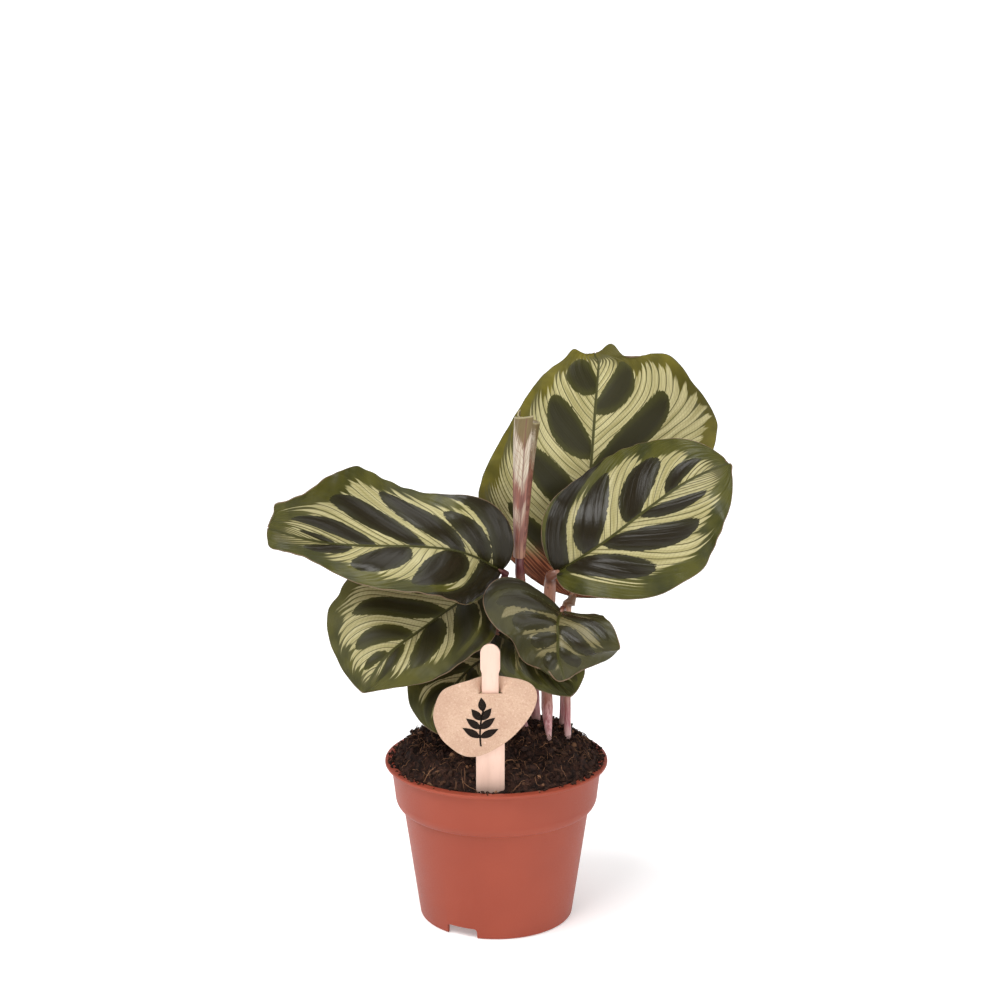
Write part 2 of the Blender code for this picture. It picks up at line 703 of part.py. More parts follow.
clear_scene()
PARTS = new_collection("potted_calathea")
CUTTERS = new_collection("cutters")
CUTTERS.hide_render = True
make_pot()
potting_soil = make_soil()
for leaf_name, leaf_shape in LEAVES.items():
    make_leaf(leaf_name, leaf_shape, potting_soil)
make_furled_leaf(potting_soil)
make_stick(potting_soil)
make_card()
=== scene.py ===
"""Potted calathea, dressed: marked leaves, a furled leaf, stalks, crumbly soil, a moulded plastic pot
and a card on a wooden stick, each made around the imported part's own solids. Metres, +Z up."""

import math

import bmesh
import bpy
import numpy as np
from mathutils import Matrix, Vector


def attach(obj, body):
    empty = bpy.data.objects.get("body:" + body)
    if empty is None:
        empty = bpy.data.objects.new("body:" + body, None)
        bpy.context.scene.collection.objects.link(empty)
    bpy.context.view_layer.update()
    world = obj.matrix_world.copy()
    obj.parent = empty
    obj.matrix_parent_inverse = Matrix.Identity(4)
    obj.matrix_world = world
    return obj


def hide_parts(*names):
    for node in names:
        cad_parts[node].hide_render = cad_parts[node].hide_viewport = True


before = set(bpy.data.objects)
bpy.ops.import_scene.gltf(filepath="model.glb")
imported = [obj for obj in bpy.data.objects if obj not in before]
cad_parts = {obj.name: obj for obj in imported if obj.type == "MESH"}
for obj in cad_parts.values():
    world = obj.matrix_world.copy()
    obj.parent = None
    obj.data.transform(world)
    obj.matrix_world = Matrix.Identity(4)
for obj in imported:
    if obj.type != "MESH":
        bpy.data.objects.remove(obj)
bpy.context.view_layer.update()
MM = 0.001
BODY = "root"
SEED = 11

# Camera
LENS = 68.4
SENSOR_WIDTH = 36
CAMERA_PLACE = (0.0015, -0.732, 0.326)
CAMERA_PITCH = 11.92  # degrees below the horizon

# Studio
FLOOR_RADIUS = 2.2
FLOOR_CENTRE = 0.02  # radius of the innermost ring
FLOOR_RINGS = 12
FLOOR_SEGMENTS = 96
FLOOR_DROP = 0.0002  # how far the paper lies below the pot's foot
SWEEP_RADIUS = 0.7
SWEEP_RISE = 0.62
SWEEP_RINGS = 14
SWEEP_START = 0.1  # radians turned upward at the first ring of the sweep
WORLD_STRENGTH = 0.34
BACKDROP_GLOW = 0.6
FLOOR_GLOW = 0.28
GLOW_REACH = (0.1, 1.6)  # m from the plant where the floor's glow starts to rise and is the backdrop's
SOFTBOXES = (  # name, place, what it aims at, side and power
    ("key", (-0.6, -0.95, 1.5), (0, 0, 0.12), 0.8, 16),
    ("side", (-0.85, -0.3, 1.3), (0, 0, 0.15), 0.6, 8),
    ("overhead", (0.2, 0.2, 1.7), (0, 0, 0.1), 1.3, 11),
    ("fill", (0.9, -1.6, 0.6), (0, 0, 0.1), 1.2, 10),
)

# Pot
POT_HEIGHT = 65 * MM
POT_WALL = 1.2 * MM
LIP_RADIUS = 45 * MM
LIP_THICKNESS = 1.2 * MM
BAND_TOP_RADIUS = 42.6 * MM
BAND_FOOT_RADIUS = 41 * MM
BAND_FOOT_Z = 50.6 * MM
SHOULDER_RADIUS = 37.7 * MM
SHOULDER_Z = 45.6 * MM
FOOT_RADIUS = 31.1 * MM
FOOT_RING_WIDTH = 1.2 * MM
CHANNEL_Z = 4.2 * MM
PAD_RADIUS = 14 * MM
POT_SEGMENTS = 160
POT_ROUNDING = 0.45 * MM
SHOULDER_STEPS = 8
NOTCH_ANGLES = (-26, 94, 214)  # degrees from the front, turning toward +X
NOTCH_WIDTH = 13 * MM
NOTCH_HEIGHT = 4 * MM
NOTCH_DEPTH = 5 * MM  # along the radius
NOTCH_ROUNDING = 1.2 * MM
DRAIN_HOLES = 6
DRAIN_RADIUS = 3 * MM
DRAIN_DEPTH = 6 * MM
DRAIN_CIRCLE = 22.5 * MM

# Soil
SOIL_SEGMENTS = 220
SOIL_RINGS = 90
SOIL_RADIUS = BAND_TOP_RADIUS - POT_WALL - 0.9 * MM  # of the solid mound
SOIL_EDGE = BAND_TOP_RADIUS - POT_WALL - 0.5 * MM  # of the mound as drawn
SOIL_CENTRE = 0.0004  # share of the mound's area inside its first ring
SOIL_DROP = 2 * MM  # height of the first ring below the lip
SOIL_WALL_GAP = 0.4 * MM
SOIL_FLOOR_GAP = 0.3 * MM
MOUND_RISE = 12 * MM
MOUND_EDGE = 1 * MM
SIDE_HEAP = 4 * MM
EDGE_SLOPE = (1.04, 0.86)  # shares of the radius where the slope down to the lip ends and starts
STICK_DIP = 6.5 * MM
STICK_DIP_PLACE = (-2.2 * MM, -38.5 * MM)
STICK_DIP_SIZE = (8.5 * MM, 5.5 * MM)
LUMP_HEIGHT = 1.6 * MM
LUMP_CALM = 0.7  # share of the lumps' height that is lost at the rim
LUMP_PITCH = 400
LUMP_WAVES = 14
LUMP_SEED = 5
GRIT = ((0.6, 16, 1100), (0.3, 20, 2600), (0.2, 24, 5200))  # height in mm, number of waves and their pitch
CRUMBS = 2600
RIM_CRUMBS = 900
CRUMB_LEAST = 0.35  # mm
CRUMB_MOST = 2.2
CRUMB_MARGIN = 0.6 * MM  # kept free at the pot's wall and on the lip
FIBRES = 950
FIBRE_MARGIN = 0.8 * MM
FIBRE_SIDES = 4
FIBRE_STEPS = 8

# Label
LABEL_LEAN = math.atan2(SHOULDER_RADIUS - FOOT_RADIUS, SHOULDER_Z)
STICK_AT_RIM = Vector((-2.2, -35.5, 65)) * MM
STICK_WIDTH = 11 * MM
STICK_THICKNESS = 1.5 * MM
STICK_BELOW_RIM = 42 * MM
STICK_ABOVE_RIM = 61 * MM
STICK_ROUNDING = 0.3 * MM
NECK_WIDTH = 6.4 * MM
NECK_FOOT = 38.5 * MM
NECK_SLOPE = 3 * MM  # length over which the stick narrows to its neck
HEAD_WIDTH = 7.5 * MM
HEAD_LENGTH = 10 * MM
HEAD_SLOPE = 2 * MM
HEAD_STEPS = 16
CARD_THICKNESS = 0.7 * MM
CARD_CENTRE = (-2 * MM, 31.5 * MM)
CARD_GAP = 0.3 * MM  # between the card and the stick's front
CARD_OUTLINE = (  # mm across and up from the card's centre
    (-1.9, 16), (-9.5, 14), (-16, 10.9), (-19, 4.7), (-19.6, -1.2), (-17.1, -8.6), (-12.5, -13.7),
    (-8, -16.6), (-2.7, -16.8), (3.4, -14), (9.1, -9.8), (14.1, -4.3), (18.2, 2.3), (19.8, 8.6),
    (17.9, 13.3), (12.5, 15.8), (4.9, 16.4),
)
OUTLINE_STEPS = 10  # between two of these points
CARD_STEP = 0.45 * MM  # of the sheet that the outline is cut from
CARD_CUT_DEPTH = 20 * MM
CARD_HALF_WIDTH = 22 * MM
CARD_HALF_HEIGHT = 18.5 * MM
SLIT_LEFT = 4.5 * MM
SLIT_RIGHT = 5 * MM
SLIT_UP = 9.7 * MM
SLIT_GAP = 0.22 * MM
BOW_BACK = STICK_THICKNESS + 0.6 * MM + CARD_THICKNESS  # how far the strip behind the neck moves back
BOW_HALF = NECK_WIDTH / 2 + 0.4 * MM
BOW_SPREAD = 4 * MM  # how much wider the bend of the card is at its top edge
BOW_RISE = 6 * MM  # how far above the slit it is that wide
BOW_DROP = 0.27  # how much the strip behind the neck sinks for each part that it moves back
STEM = [(-3.5 + 0.012 * y * y + 0.14 * y, y) for y in np.linspace(-11, 5, 14)]  # mm, the printed sprig's stem
STEM_HALF_WIDTH = 0.35
SPRIG_LEAVES = (  # degrees off upright and mm long, in pairs from the lowest up
    (62, 8), (-58, 8), (50, 7.5), (-50, 7), (38, 6.5), (-38, 6), (-6, 6),
)
SPRIG_LEAF_WIDTH = 3.1
SPRIG_SHIFT = (2 * MM, -1.5 * MM)
INK_DEPTH = 0.12 * MM

# Leaves
BLADE_ROWS = 150
HALF_COLUMNS = 40
COLUMN_SPREAD = 0.35  # how fast the columns' spacing grows away from the midrib
MARGIN_STEPS = (0.0, 0.25, 0.6, 1.0)  # shares of the rounded margin's width, from the edge inward
BLADE_SKIN = 0.5  # mm thick
BLADE_END = 0.004  # share of the half turn left open at base and tip
CAD_START = 0.05  # share of the half turn where the solid blade begins, which its stalk reaches
BEND_STEPS = 12  # steps across a half blade in which its fold and curl are added up
RIB = 0.09  # mm high, the ribs along the side veins
RIB_PITCH = 4.8  # mm along the midrib
RIPPLE = 0.3  # mm high, at the margin
RIPPLE_PITCH = 5.3  # mm
GROOVE = 0.35  # mm deep, above the midrib
GROOVE_WIDTH = 0.8  # mm to each side
GROOVE_FADE = (0.05, 0.4)  # shares of the midrib before the tip where the groove starts and is full
RELIEF_REACH = (0.02, 0.35)  # how far round from base or tip the ribs and marks start to rise and are full
KEEL = 1.5  # mm deep, below the midrib
KEEL_WIDTH = 0.9  # mm to each side
KEEL_TAPER = 0.8  # share of its depth that the keel loses toward the tip
NICK_HOLD = 10  # mm of half width below which a nick reaches further inward
VEIN_SLANT = 1.25  # length of a side vein for each mm of half width
MARK_SLANT = 0.77  # width across the veins for each mm along the midrib
MARK_WIDEST = 0.46  # share of a mark's reach where it is widest
MARK_FOOT = 0.62  # share of its width that a mark loses toward the midrib
MARK_SWELL = 0.85  # share of a mark's half width that its swell covers
MARK_END = 3  # how sharply a mark ends at the end of its reach
MARK_FAR = 9.0  # half widths from a mark that count as none near
MARKS_APART = (0.4, 1.5)  # half widths from a mark's line where the space beside it starts and is full
MAIN_PITCH = 3.1  # mm between the dark side veins, measured along the midrib
FINE_PITCH = 0.9  # mm between the fine veins
LADDER_PITCH = 1.15  # mm between the cross lines that join them
LADDER_SHIFT = 0.41  # mm by which the cross lines are set off from one row to the next
MAIN_LINE = 0.15  # mm, half the width of each kind of line
FINE_LINE = 0.07
CROSS_LINE = 0.09
VEIN_WANDER = 3.0  # mm by which the veins leave their even run
VEIN_SPREAD = 0.4  # mm by which the dark veins widen toward the margin
SPREAD_REACH = (9.0, 2.0)  # mm from the margin where they start to widen and are widest
MARK_EDGE = (-0.12, 0.16)  # mm inside a mark's edge where its colour starts and is full
MARK_CORE = (0.2, 3.4)  # the same for the darker colour of its middle
PALE_EDGE = (-0.7, 0.9)  # mm inside the end of the pale ground where its colour starts and is full
MARK_JAG = 1.7  # mm by which a mark's edge is jagged
RIM_DIP = 4.5  # mm more plain margin at the end of a mark
TONGUE = 7.0  # how far streaks, hairs and the gaps between veins move the end of the pale ground
TONGUE_HAIR = 4.0
FINGER = 1.9  # for each mm of distance from a dark vein
FINGER_MOST = 1.3  # mm from a vein where that stops
MIDRIB_LINE = (0.75, 0.45)  # mm from the midrib where its line starts and is full
MIDRIB_LINE_BELOW = (1.1, 0.7)
MARGIN_LINE = (0.4, 0.15)  # mm from the margin where its thin line starts and is full
SHADE_GLOW_END = 0.2  # share of the midrib where the painted shade and glow at the base have faded out
CROWDING_MOST = 6
HALF_LEVEL = 3  # parts the noise of a blade's two halves
LEAF_LEVEL = 11  # parts the noise of the leaves

# Each leaf as its solid has it: midrib points from base to tip in mm, the way its upper face looks at base,
# middle and tip, half widths in mm at even steps round a half turn, fold and curl in degrees, margin waves as
# (height in mm, count, start), and the stalk's radius in mm, the share of it left at the foot and its points.
# Left and right are seen from above with the tip ahead.
LEAVES = {
    "back_leaf": dict(
        midrib=((31, 16, 128), (36, 24, 154), (39, 32, 183), (41, 40, 207), (43, 49, 226)),
        face=((0, -1, 0.2), (0, -1, 0.3), (0, -1, 0.9)),
        left=(54, 49, 50, 43, 34, 30, 18),
        left_fold=(5, 14, 17), left_curl=(0, 4, -10), left_wave=(3, 4, 0.6),
        right=(40, 45, 48, 51, 57, 56, 40),
        right_fold=(8, -15, 34), right_curl=(0, -13, 0), right_wave=(3.7, 4, 0.06),
        stalk_radius=2.2, stalk_foot=1,
        stalk=((28, 16, 52), (28, 16, 66), (28.5, 17, 95), (28.6, 16, 122)),
    ),
    "right_leaf": dict(
        midrib=((24, 4, 141), (41, -3, 154), (57, -8, 168), (74, -11, 181), (90, -10, 188)),
        face=((-0.2, -1, 0.7), (-0.2, -1, 0.7), (-0.1, -1, 0.6)),
        left=(24, 34, 33, 35, 28, 20, 10),
        left_fold=(45, -8, 20), left_curl=(5, -22, -5), left_wave=(1, 4, 0.15),
        right=(36, 27, 28, 33, 32, 32, 24),
        right_fold=(28, -2, 18), right_curl=(-6, -20, -4), right_wave=(2.2, 4, 0.27),
        stalk_radius=2.5, stalk_foot=0.2,
        stalk=((22.5, -13, 52), (22, -12, 66), (20.5, 2, 92), (21.5, 8, 128)),
    ),
    "left_leaf": dict(
        midrib=((2, 3, 142), (-14, -7, 152), (-37, -14, 156), (-64, -18, 158), (-88, -17, 164)),
        face=((0, -1, 0.5), (0, -1, 0.9), (-0.3, -1, 0.7)),
        left=(25, 28, 29, 26, 13, 14, 20),
        left_fold=(8, 22, -7), left_curl=(-12, -7, -12), left_wave=(2.8, 3, 0.94),
        right=(12, 32, 27, 34, 35, 33, 46),
        right_fold=(48, 0, 55), right_curl=(4, -19, 10), right_wave=(2.4, 4, 0.03),
        stalk_radius=1.6, stalk_foot=0.9,
        stalk=((11, 17, 52), (11, 17, 66), (8, 14, 100), (3, 9, 130)),
    ),
    "low_left_leaf": dict(
        midrib=((-2, 8, 134), (-17, -7, 130), (-30, -18, 123), (-42, -28, 116), (-51, -34, 103)),
        face=((0, -1, 0.8), (-0.2, -1, 0.55), (-0.3, -1, 0.4)),
        left=(12, 19, 24, 24, 22, 13, 3),
        left_fold=(-12, 18, -18), left_curl=(-17, -4, -18), left_wave=(0.8, 3, 0.5),
        right=(25, 31, 34, 35, 37, 30, 13),
        right_fold=(11, 8, 0), right_curl=(-15, -16, -15), right_wave=(1.5, 3, 0.6),
        stalk_radius=1.6, stalk_foot=0.9,
        stalk=((6, 11, 52), (6, 11, 66), (2, 14, 100), (-1, 15, 127)),
    ),
    "front_leaf": dict(
        midrib=((26, -3, 127), (24, -16, 126), (24, -23, 122), (24, -27, 115), (26.5, -29, 106.5)),
        face=((0, -0.6, 1), (0, -1, 1), (0, -1, 0.4)),
        left=(13, 20, 21, 23, 28, 32, 22),
        left_fold=(4, 12, -6), left_curl=(0, 0, -16), left_wave=(0.8, 3, 0.45),
        right=(40, 41, 36, 22, 16, 14, 11),
        right_fold=(37, 6, 8), right_curl=(0, -12, 0), right_wave=(1.5, 3, 0.73),
        stalk_radius=1.5, stalk_foot=1,
        stalk=((29, -1, 52), (29, -1, 66), (28.5, 2, 95), (27.5, 3, 120)),
    ),
    "low_shaded_leaf": dict(
        midrib=((3, 3, 108), (-8, -9, 107), (-16, -18, 101), (-21, -24, 93.5), (-22, -27, 84)),
        face=((-0.2, -1, 1.2), (-0.2, -1, 0.8), (-0.2, -1, 0.4)),
        left=(8, 12, 16, 19, 18, 14, 8),
        left_fold=(0, 10, 0), left_curl=(-15, -15, -15), left_wave=(1, 3, 0),
        right=(14, 20, 22, 22, 19, 14, 7),
        right_fold=(0, 10, 0), right_curl=(-15, -15, -15), right_wave=(1, 3, 0.4),
        stalk_radius=1.4, stalk_foot=1,
        stalk=((14, 1, 52), (14, 1, 66), (9.5, 4, 86), (6, 6, 102)),
    ),
    "low_front_leaf": dict(
        midrib=((0, -1, 117), (7, -8, 115), (14.5, -15, 110), (22.5, -20, 104.5), (29.5, -24, 98.5)),
        face=((0, -1, 1.3), (0, -1, 1), (0.1, -1, 0.6)),
        left=(24, 23, 18, 15, 17, 19, 14),
        left_fold=(-10, 6, 0), left_curl=(-15, -15, -15), left_wave=(1, 3, 0),
        right=(18, 18, 17, 13, 9, 6, 4),
        right_fold=(10, 10, 0), right_curl=(-15, -15, -15), right_wave=(1, 3, 0.4),
        stalk_radius=1.4, stalk_foot=1,
        stalk=((2.5, 6, 52), (2.5, 6, 66), (4, 9.5, 92), (2, 10, 108)),
    ),
}

# What is on each half of a blade. Veins: how far they sweep forward at the base, how much more toward the
# tip, and how much more at the margin. Rim: the plain margin's width in mm at even steps from base to tip.
# Marks: place on the midrib and half width, both as shares of the midrib, the share of the half width that
# the mark reaches, and how far it leans off the veins. Nicks: place round the half turn, half width there,
# and depth in mm.
PLAIN = dict(
    veins=(0.2, 0.5, 0.3), rim=(4, 4, 4, 3),
    marks=((-0.02, 0.09, 1.0, 0), (0.19, 0.085, 0.76, 0), (0.4, 0.085, 0.7, 0), (0.6, 0.08, 0.6, 0),
           (0.78, 0.055, 0.4, 0)),
    nicks=(),
)
HALVES = {
    "back_leaf": dict(
        left=dict(
            veins=(0.31, -0.06, 0.22), rim=(4, 2.8, 1.0, 1.2),
            marks=((0.055, 0.075, 0.74, 0), (0.335, 0.08, 0.68, 0), (0.572, 0.082, 0.68, -0.03),
                   (0.832, 0.068, 0.66, -0.17)),
            nicks=((0.89, 0.032, -2.2), (0.945, 0.03, 0.9), (0.82, 0.04, 0.7)),
        ),
        right=dict(
            veins=(0.45, 0.12, -0.1), rim=(4, 4, 2.4, 0.4),
            marks=((0.03, 0.065, 0.85, 0), (0.25, 0.075, 0.72, 0), (0.485, 0.08, 0.65, 0),
                   (0.745, 0.07, 0.42, -0.15)),
            nicks=((0.95, 0.024, -4.0), (0.895, 0.025, 1.6), (0.825, 0.035, -2.2), (0.75, 0.035, 1.4),
                   (0.65, 0.03, -0.9)),
        ),
    ),
    "right_leaf": dict(
        left=dict(
            veins=(0.12, 0.36, 0.3), rim=(5, 5.5, 4, 3),
            marks=((-0.04, 0.12, 1.0, 0), (0.215, 0.1, 0.78, 0), (0.48, 0.1, 0.66, -0.01),
                   (0.7, 0.062, 0.44, 0)),
            nicks=((0.16, 0.09, -0.9), (0.965, 0.015, 0.5)),
        ),
        right=dict(
            veins=(0.3, 0.95, 0.3), rim=(7, 5, 3.6, 2.6),
            marks=((-0.13, 0.11, 0.4, 0), (0.102, 0.1, 0.7, -0.02), (0.31, 0.095, 0.62, 0.02),
                   (0.535, 0.072, 0.36, 0)),
            nicks=((0.98, 0.02, -0.9), (0.63, 0.03, 0.6), (0.72, 0.03, -0.4), (0.5, 0.05, 0.6)),
        ),
    ),
    "left_leaf": dict(
        left=dict(
            veins=(0.09, 0.23, 0.23), rim=(6, 4.5, 2.6, 1.8),
            marks=((0.0, 0.12, 1.0, 0), (0.24, 0.095, 0.84, 0), (0.475, 0.09, 0.68, 0),
                   (0.69, 0.065, 0.5, 0)),
            nicks=((0.88, 0.04, -1.2), (0.74, 0.05, 0.6)),
        ),
        right=dict(
            veins=(0.13, 1.05, 0.1), rim=(5, 1.6, 5.5, 1.0),
            marks=((-0.05, 0.1, 1.0, 0), (0.1, 0.052, 0.66, 0), (0.22, 0.066, 0.76, 0),
                   (0.39, 0.072, 0.66, 0), (0.585, 0.066, 0.42, 0), (0.735, 0.034, 0.15, 0)),
            nicks=((0.59, 0.04, -1.2), (0.79, 0.05, 2.6), (0.895, 0.025, -2.4), (0.38, 0.06, 1.4)),
        ),
    ),
    "low_left_leaf": dict(
        left=dict(
            veins=(0.0, 0.8, 0.61), rim=(4, 5, 4, 2),
            marks=((0.03, 0.1, 1.0, 0), (0.225, 0.085, 0.8, 0), (0.445, 0.1, 0.62, 0),
                   (0.69, 0.078, 0.36, 0)),
            nicks=(),
        ),
        right=dict(
            veins=(0.44, 0.03, 0.19), rim=(2.5, 2.5, 2.5, 2),
            marks=((-0.07, 0.1, 1.0, 0), (0.14, 0.092, 0.76, 0), (0.375, 0.09, 0.7, 0), (0.6, 0.074, 0.46, 0),
                   (0.775, 0.05, 0.22, 0)),
            nicks=((0.635, 0.018, 1.3), (0.675, 0.018, -0.8), (0.8, 0.05, 0.5)),
        ),
    ),
    "front_leaf": dict(
        left=dict(
            veins=(0.6, -0.2, -0.04), rim=(4, 5.5, 6, 6),
            marks=((0.1, 0.13, 0.85, 0), (0.455, 0.11, 0.62, 0), (0.7, 0.09, 0.4, 0)),
            nicks=((0.45, 0.1, 2.0), (0.66, 0.03, 2.4), (0.78, 0.07, -3.2), (0.92, 0.035, 0.8)),
        ),
        right=dict(
            veins=(0.0, 0.18, 0.28), rim=(8, 6, 4, 4),
            marks=((-0.03, 0.12, 1.0, 0), (0.18, 0.09, 0.82, 0), (0.37, 0.085, 0.7, 0), (0.56, 0.08, 0.6, 0),
                   (0.75, 0.07, 0.5, 0)),
            nicks=((0.77, 0.075, 3.2), (0.845, 0.05, 2.4), (0.66, 0.05, -0.6)),
        ),
    ),
    "low_shaded_leaf": dict(left=PLAIN, right=PLAIN),
    "low_front_leaf": dict(left=PLAIN, right=PLAIN),
}
# How vivid the pale ground is (less is duller and darker, partly painted shade), how warm the rim, how much
# painted shade with light shining through darkens the base, how brown the face outside the marks (a tone that
# is partly painted shade) and how glossy the marks (which also tints them purple as painted sheen), from 0 to
# 1, and the height in mm to which the marks swell.
TINTS = {
    "back_leaf": dict(vivid_unshaded=1.0, warm=1.0, rust=1.0, brown=0.0, gloss=0.05, ridge=0.6),
    "right_leaf": dict(vivid_unshaded=0.9, warm=0.25, rust=0.0, brown=0.1, gloss=1.0, ridge=0.9),
    "left_leaf": dict(vivid_unshaded=1.0, warm=0.35, rust=0.0, brown=0.1, gloss=0.9, ridge=1.3),
    "low_left_leaf": dict(vivid_unshaded=1.0, warm=0.35, rust=0.0, brown=0.2, gloss=0.1, ridge=0.8),
    "front_leaf": dict(vivid_unshaded=0.5, warm=0.1, rust=0.0, brown=0.7, gloss=0.9, ridge=0.9),
    "low_shaded_leaf": dict(vivid_unshaded=0.9, warm=0.4, rust=0.0, brown=0.1, gloss=0.2, ridge=0.6),
    "low_front_leaf": dict(vivid_unshaded=0.35, warm=0.3, rust=0.0, brown=0.1, gloss=0.2, ridge=0.6),
}
TIP_SHIFT = {"back_leaf": (-2.2, -0.4, -2.8)}  # mm from the solid's tip, where the photo's is drawn back
TIP_SHIFT_START = 0.92  # share of the midrib where that shift begins

# Furled leaf
FURLED = dict(
    axis=((9.5, 6, 147), (10.2, 5, 166), (11.2, 3, 187), (12.6, 1, 206.5)),
    face=((0, -1, 0),) * 3,
    radius=(2.7, 3.7, 4.6, 5.5),
    mouth_dip=4,
    stalk_radius=2.1,
    stalk_foot=1,
    stalk=((17, 20, 52), (17, 20, 66), (14.5, 17, 100), (10.5, 10, 132)),
)
FURLED_ROWS = 90
FURLED_STEPS = 150
FURLED_TURNS = 1.4
FURLED_PITCH = 1.15  # mm by which the roll narrows in a turn
FURLED_START = 70  # degrees round the roll where the sheet starts
FURLED_SEAM = 96  # degrees round the roll where its markings meet
FURLED_WRINKLE = 0.12  # mm
FURLED_BANDS = ((16.0, 38.0, 1.0), (43.0, 53.0, 0.5))  # start and end in mm below the mouth, and strength
FURLED_FEATHER = (3.0, 5.0)  # mm over which a band comes in and goes out
FURLED_RAG = 9.0  # mm by which hairs move a band's ends
FURLED_SLANT = (3.4, 1.6)  # how steeply the bands rise from the seam to each side
FURLED_WANDER = 9.0  # mm by which they leave that slope
FURLED_VEIN_PITCH = 3.4  # mm
FURLED_VEIN = (0.34, 0.102)  # mm from a vein where it starts and is full
OLIVE_REACH = (26.0, 4.0)  # mm below the mouth where the olive starts and is full
TAN_REACH = (50.0, 58.0)  # the same for the tan of the foot

# Stalks
STALK_SIDES = 24
STALK_STEPS = 70
STALK_WOBBLE = 0.05  # share of the radius
STALK_WAVES = 5
STALK_WAVE_PITCH = 300
STALK_CHANNEL = 0.1  # share of the radius, a groove along one side
TAPER_FOOT = 71 * MM  # height where a stalk has the radius of its foot
TAPER_TOP = 86 * MM  # height from which it has its full radius
FLUSH_REACH = (94 * MM, 80 * MM)  # heights where the red of the foot starts and is full
ROOT_REACH = (80 * MM, 73 * MM)  # the same for its pale lowest part
JOINT_LENGTH = 9 * MM  # the dark joint below a blade
JOINT_PINCH = 0.12  # share of the radius that a stalk loses there
JOINT_FADE = 1.5 * MM  # before the stalk's end
END_RADIUS = 0.45  # share of the radius left at the stalk's end
END_REACH = (-0.2 * MM, 2.5 * MM)  # before that end, where it has this radius and its full one
JOINT_GAP = 0.6  # mm from the solid stalk's end to its blade
JOINT_STRAIGHT = 3  # mm before that end which run straight at the blade
JOINT_REACH = 1.2  # mm that the drawn stalk runs on into the blade
STALK_TONES = {  # pink at 0 to brown at 1
    "back_leaf": 0.0, "right_leaf": 0.45, "left_leaf": 0.9, "low_left_leaf": 0.8, "front_leaf": 0.6,
    "low_shaded_leaf": 0.7, "low_front_leaf": 0.2, "furled_leaf": 0.9,
}


# Lines, rings and waves


def spline(values, places):
    """A natural cubic spline through evenly spaced values, read at places from 0 to 1."""
    values = np.array(values, float).reshape(len(values), -1)
    last = len(values) - 1
    system = np.eye(last + 1)
    pull = np.zeros_like(values)
    for i in range(1, last):
        system[i, i - 1 : i + 2] = (1, 4, 1)
        pull[i] = 6 * (values[i - 1] - 2 * values[i] + values[i + 1])
    bend = np.linalg.solve(system, pull)
    places = np.clip(places, 0, 1) * last
    start = np.minimum(places.astype(int), last - 1)
    far = (places - start)[:, None]
    near = 1 - far
    cubic = (near**3 - near) * bend[start] + (far**3 - far) * bend[start + 1]
    return near * values[start] + far * values[start + 1] + cubic / 6


def run_along(line):
    """How far along a line each of its points is."""
    return np.concatenate([[0], np.cumsum(np.linalg.norm(np.diff(line, axis=0), axis=1))])


def line_through(points, shares):
    """Points of the smooth line through points, at shares of its length."""
    fine = np.linspace(0, 1, 201)
    length = run_along(spline(points, fine))
    return spline(points, np.interp(np.asarray(shares) * length[-1], length, fine))


def unit(vectors):
    return vectors / np.maximum(np.linalg.norm(vectors, axis=-1, keepdims=True), 1e-12)


def frame_along(points, face, shares):
    """Places, tangents and face normals along a line, the normals leaning to the face vectors."""
    step = 0.001
    places = line_through(points, shares)
    ahead = line_through(points, np.minimum(shares + step, 1))
    behind = line_through(points, np.maximum(shares - step, 0))
    tangents = unit(ahead - behind)
    facing = spline(face, shares)
    normals = unit(facing - (facing * tangents).sum(axis=1, keepdims=True) * tangents)
    return places, tangents, normals


def smooth_step(value, low, high):
    share = np.clip((value - low) / (high - low), 0, 1)
    return share * share * (3 - 2 * share)


def midrib_share(turn):
    """The share of the midrib that belongs to a share of the half turn round a half blade."""
    return (1 - np.cos(np.pi * turn)) / 2


def circle(count):
    return np.linspace(0, math.tau, count, endpoint=False)


def spokes(angle, sideways, other):
    """Directions at each angle round each place of a line, from two directions across it."""
    return np.cos(angle)[:, None] * sideways[:, None] + np.sin(angle)[:, None] * other[:, None]


def tube(line, radius, aside, count):
    """Points in rings round a line, from radii for each ring and, if they differ, each angle."""
    ahead = unit(np.gradient(line, axis=0))
    sideways = unit(np.cross(ahead, aside))
    return line[:, None] + radius[..., None] * spokes(circle(count), sideways, np.cross(ahead, sideways))


def lathed(profile, count):
    """Points in rings round the Z axis, one ring for each radius and height of the profile."""
    angle = circle(count)
    return [(r * math.cos(a), r * math.sin(a), z) for r, z in profile for a in angle]


def waves(rng, count, pitch):
    """Crossing waves in the plane, for a rough height of about -1 to 1."""
    return [(*rng.normal(0, pitch, 2), rng.uniform(0, math.tau)) for _ in range(count)]


def lump(x, y, crossing):
    return sum(np.sin(fx * x + fy * y + start) for fx, fy, start in crossing) / len(crossing) ** 0.5


# Objects


def linked(name, data):
    """A new object in the scene."""
    obj = bpy.data.objects.new(name, data)
    bpy.context.scene.collection.objects.link(obj)
    return obj


def finish_object(name, mesh, materials, replaced=(), smooth_angle=None):
    """A piece of the visual model, with the materials of its faces and the nodes that it replaces."""
    obj = linked(name, mesh)
    # Clearing the materials sets every face's index to 0, so the indices are kept and put back.
    index = np.zeros(len(mesh.polygons), np.int32)
    if len(materials) > 1:
        mesh.polygons.foreach_get("material_index", index)
    mesh.materials.clear()
    for made in materials:
        mesh.materials.append(made)
    mesh.polygons.foreach_set("material_index", index)
    mesh.shade_smooth()
    if smooth_angle:
        mesh.set_sharp_from_angle(angle=math.radians(smooth_angle))
    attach(obj, BODY)
    if replaced:
        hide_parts(*replaced)


def set_attribute(mesh, name, values):
    """A number for each vertex, which the materials read by name."""
    made = mesh.attributes.new(name, "FLOAT", "POINT")
    made.data.foreach_set("value", np.ascontiguousarray(values, np.float32).ravel())


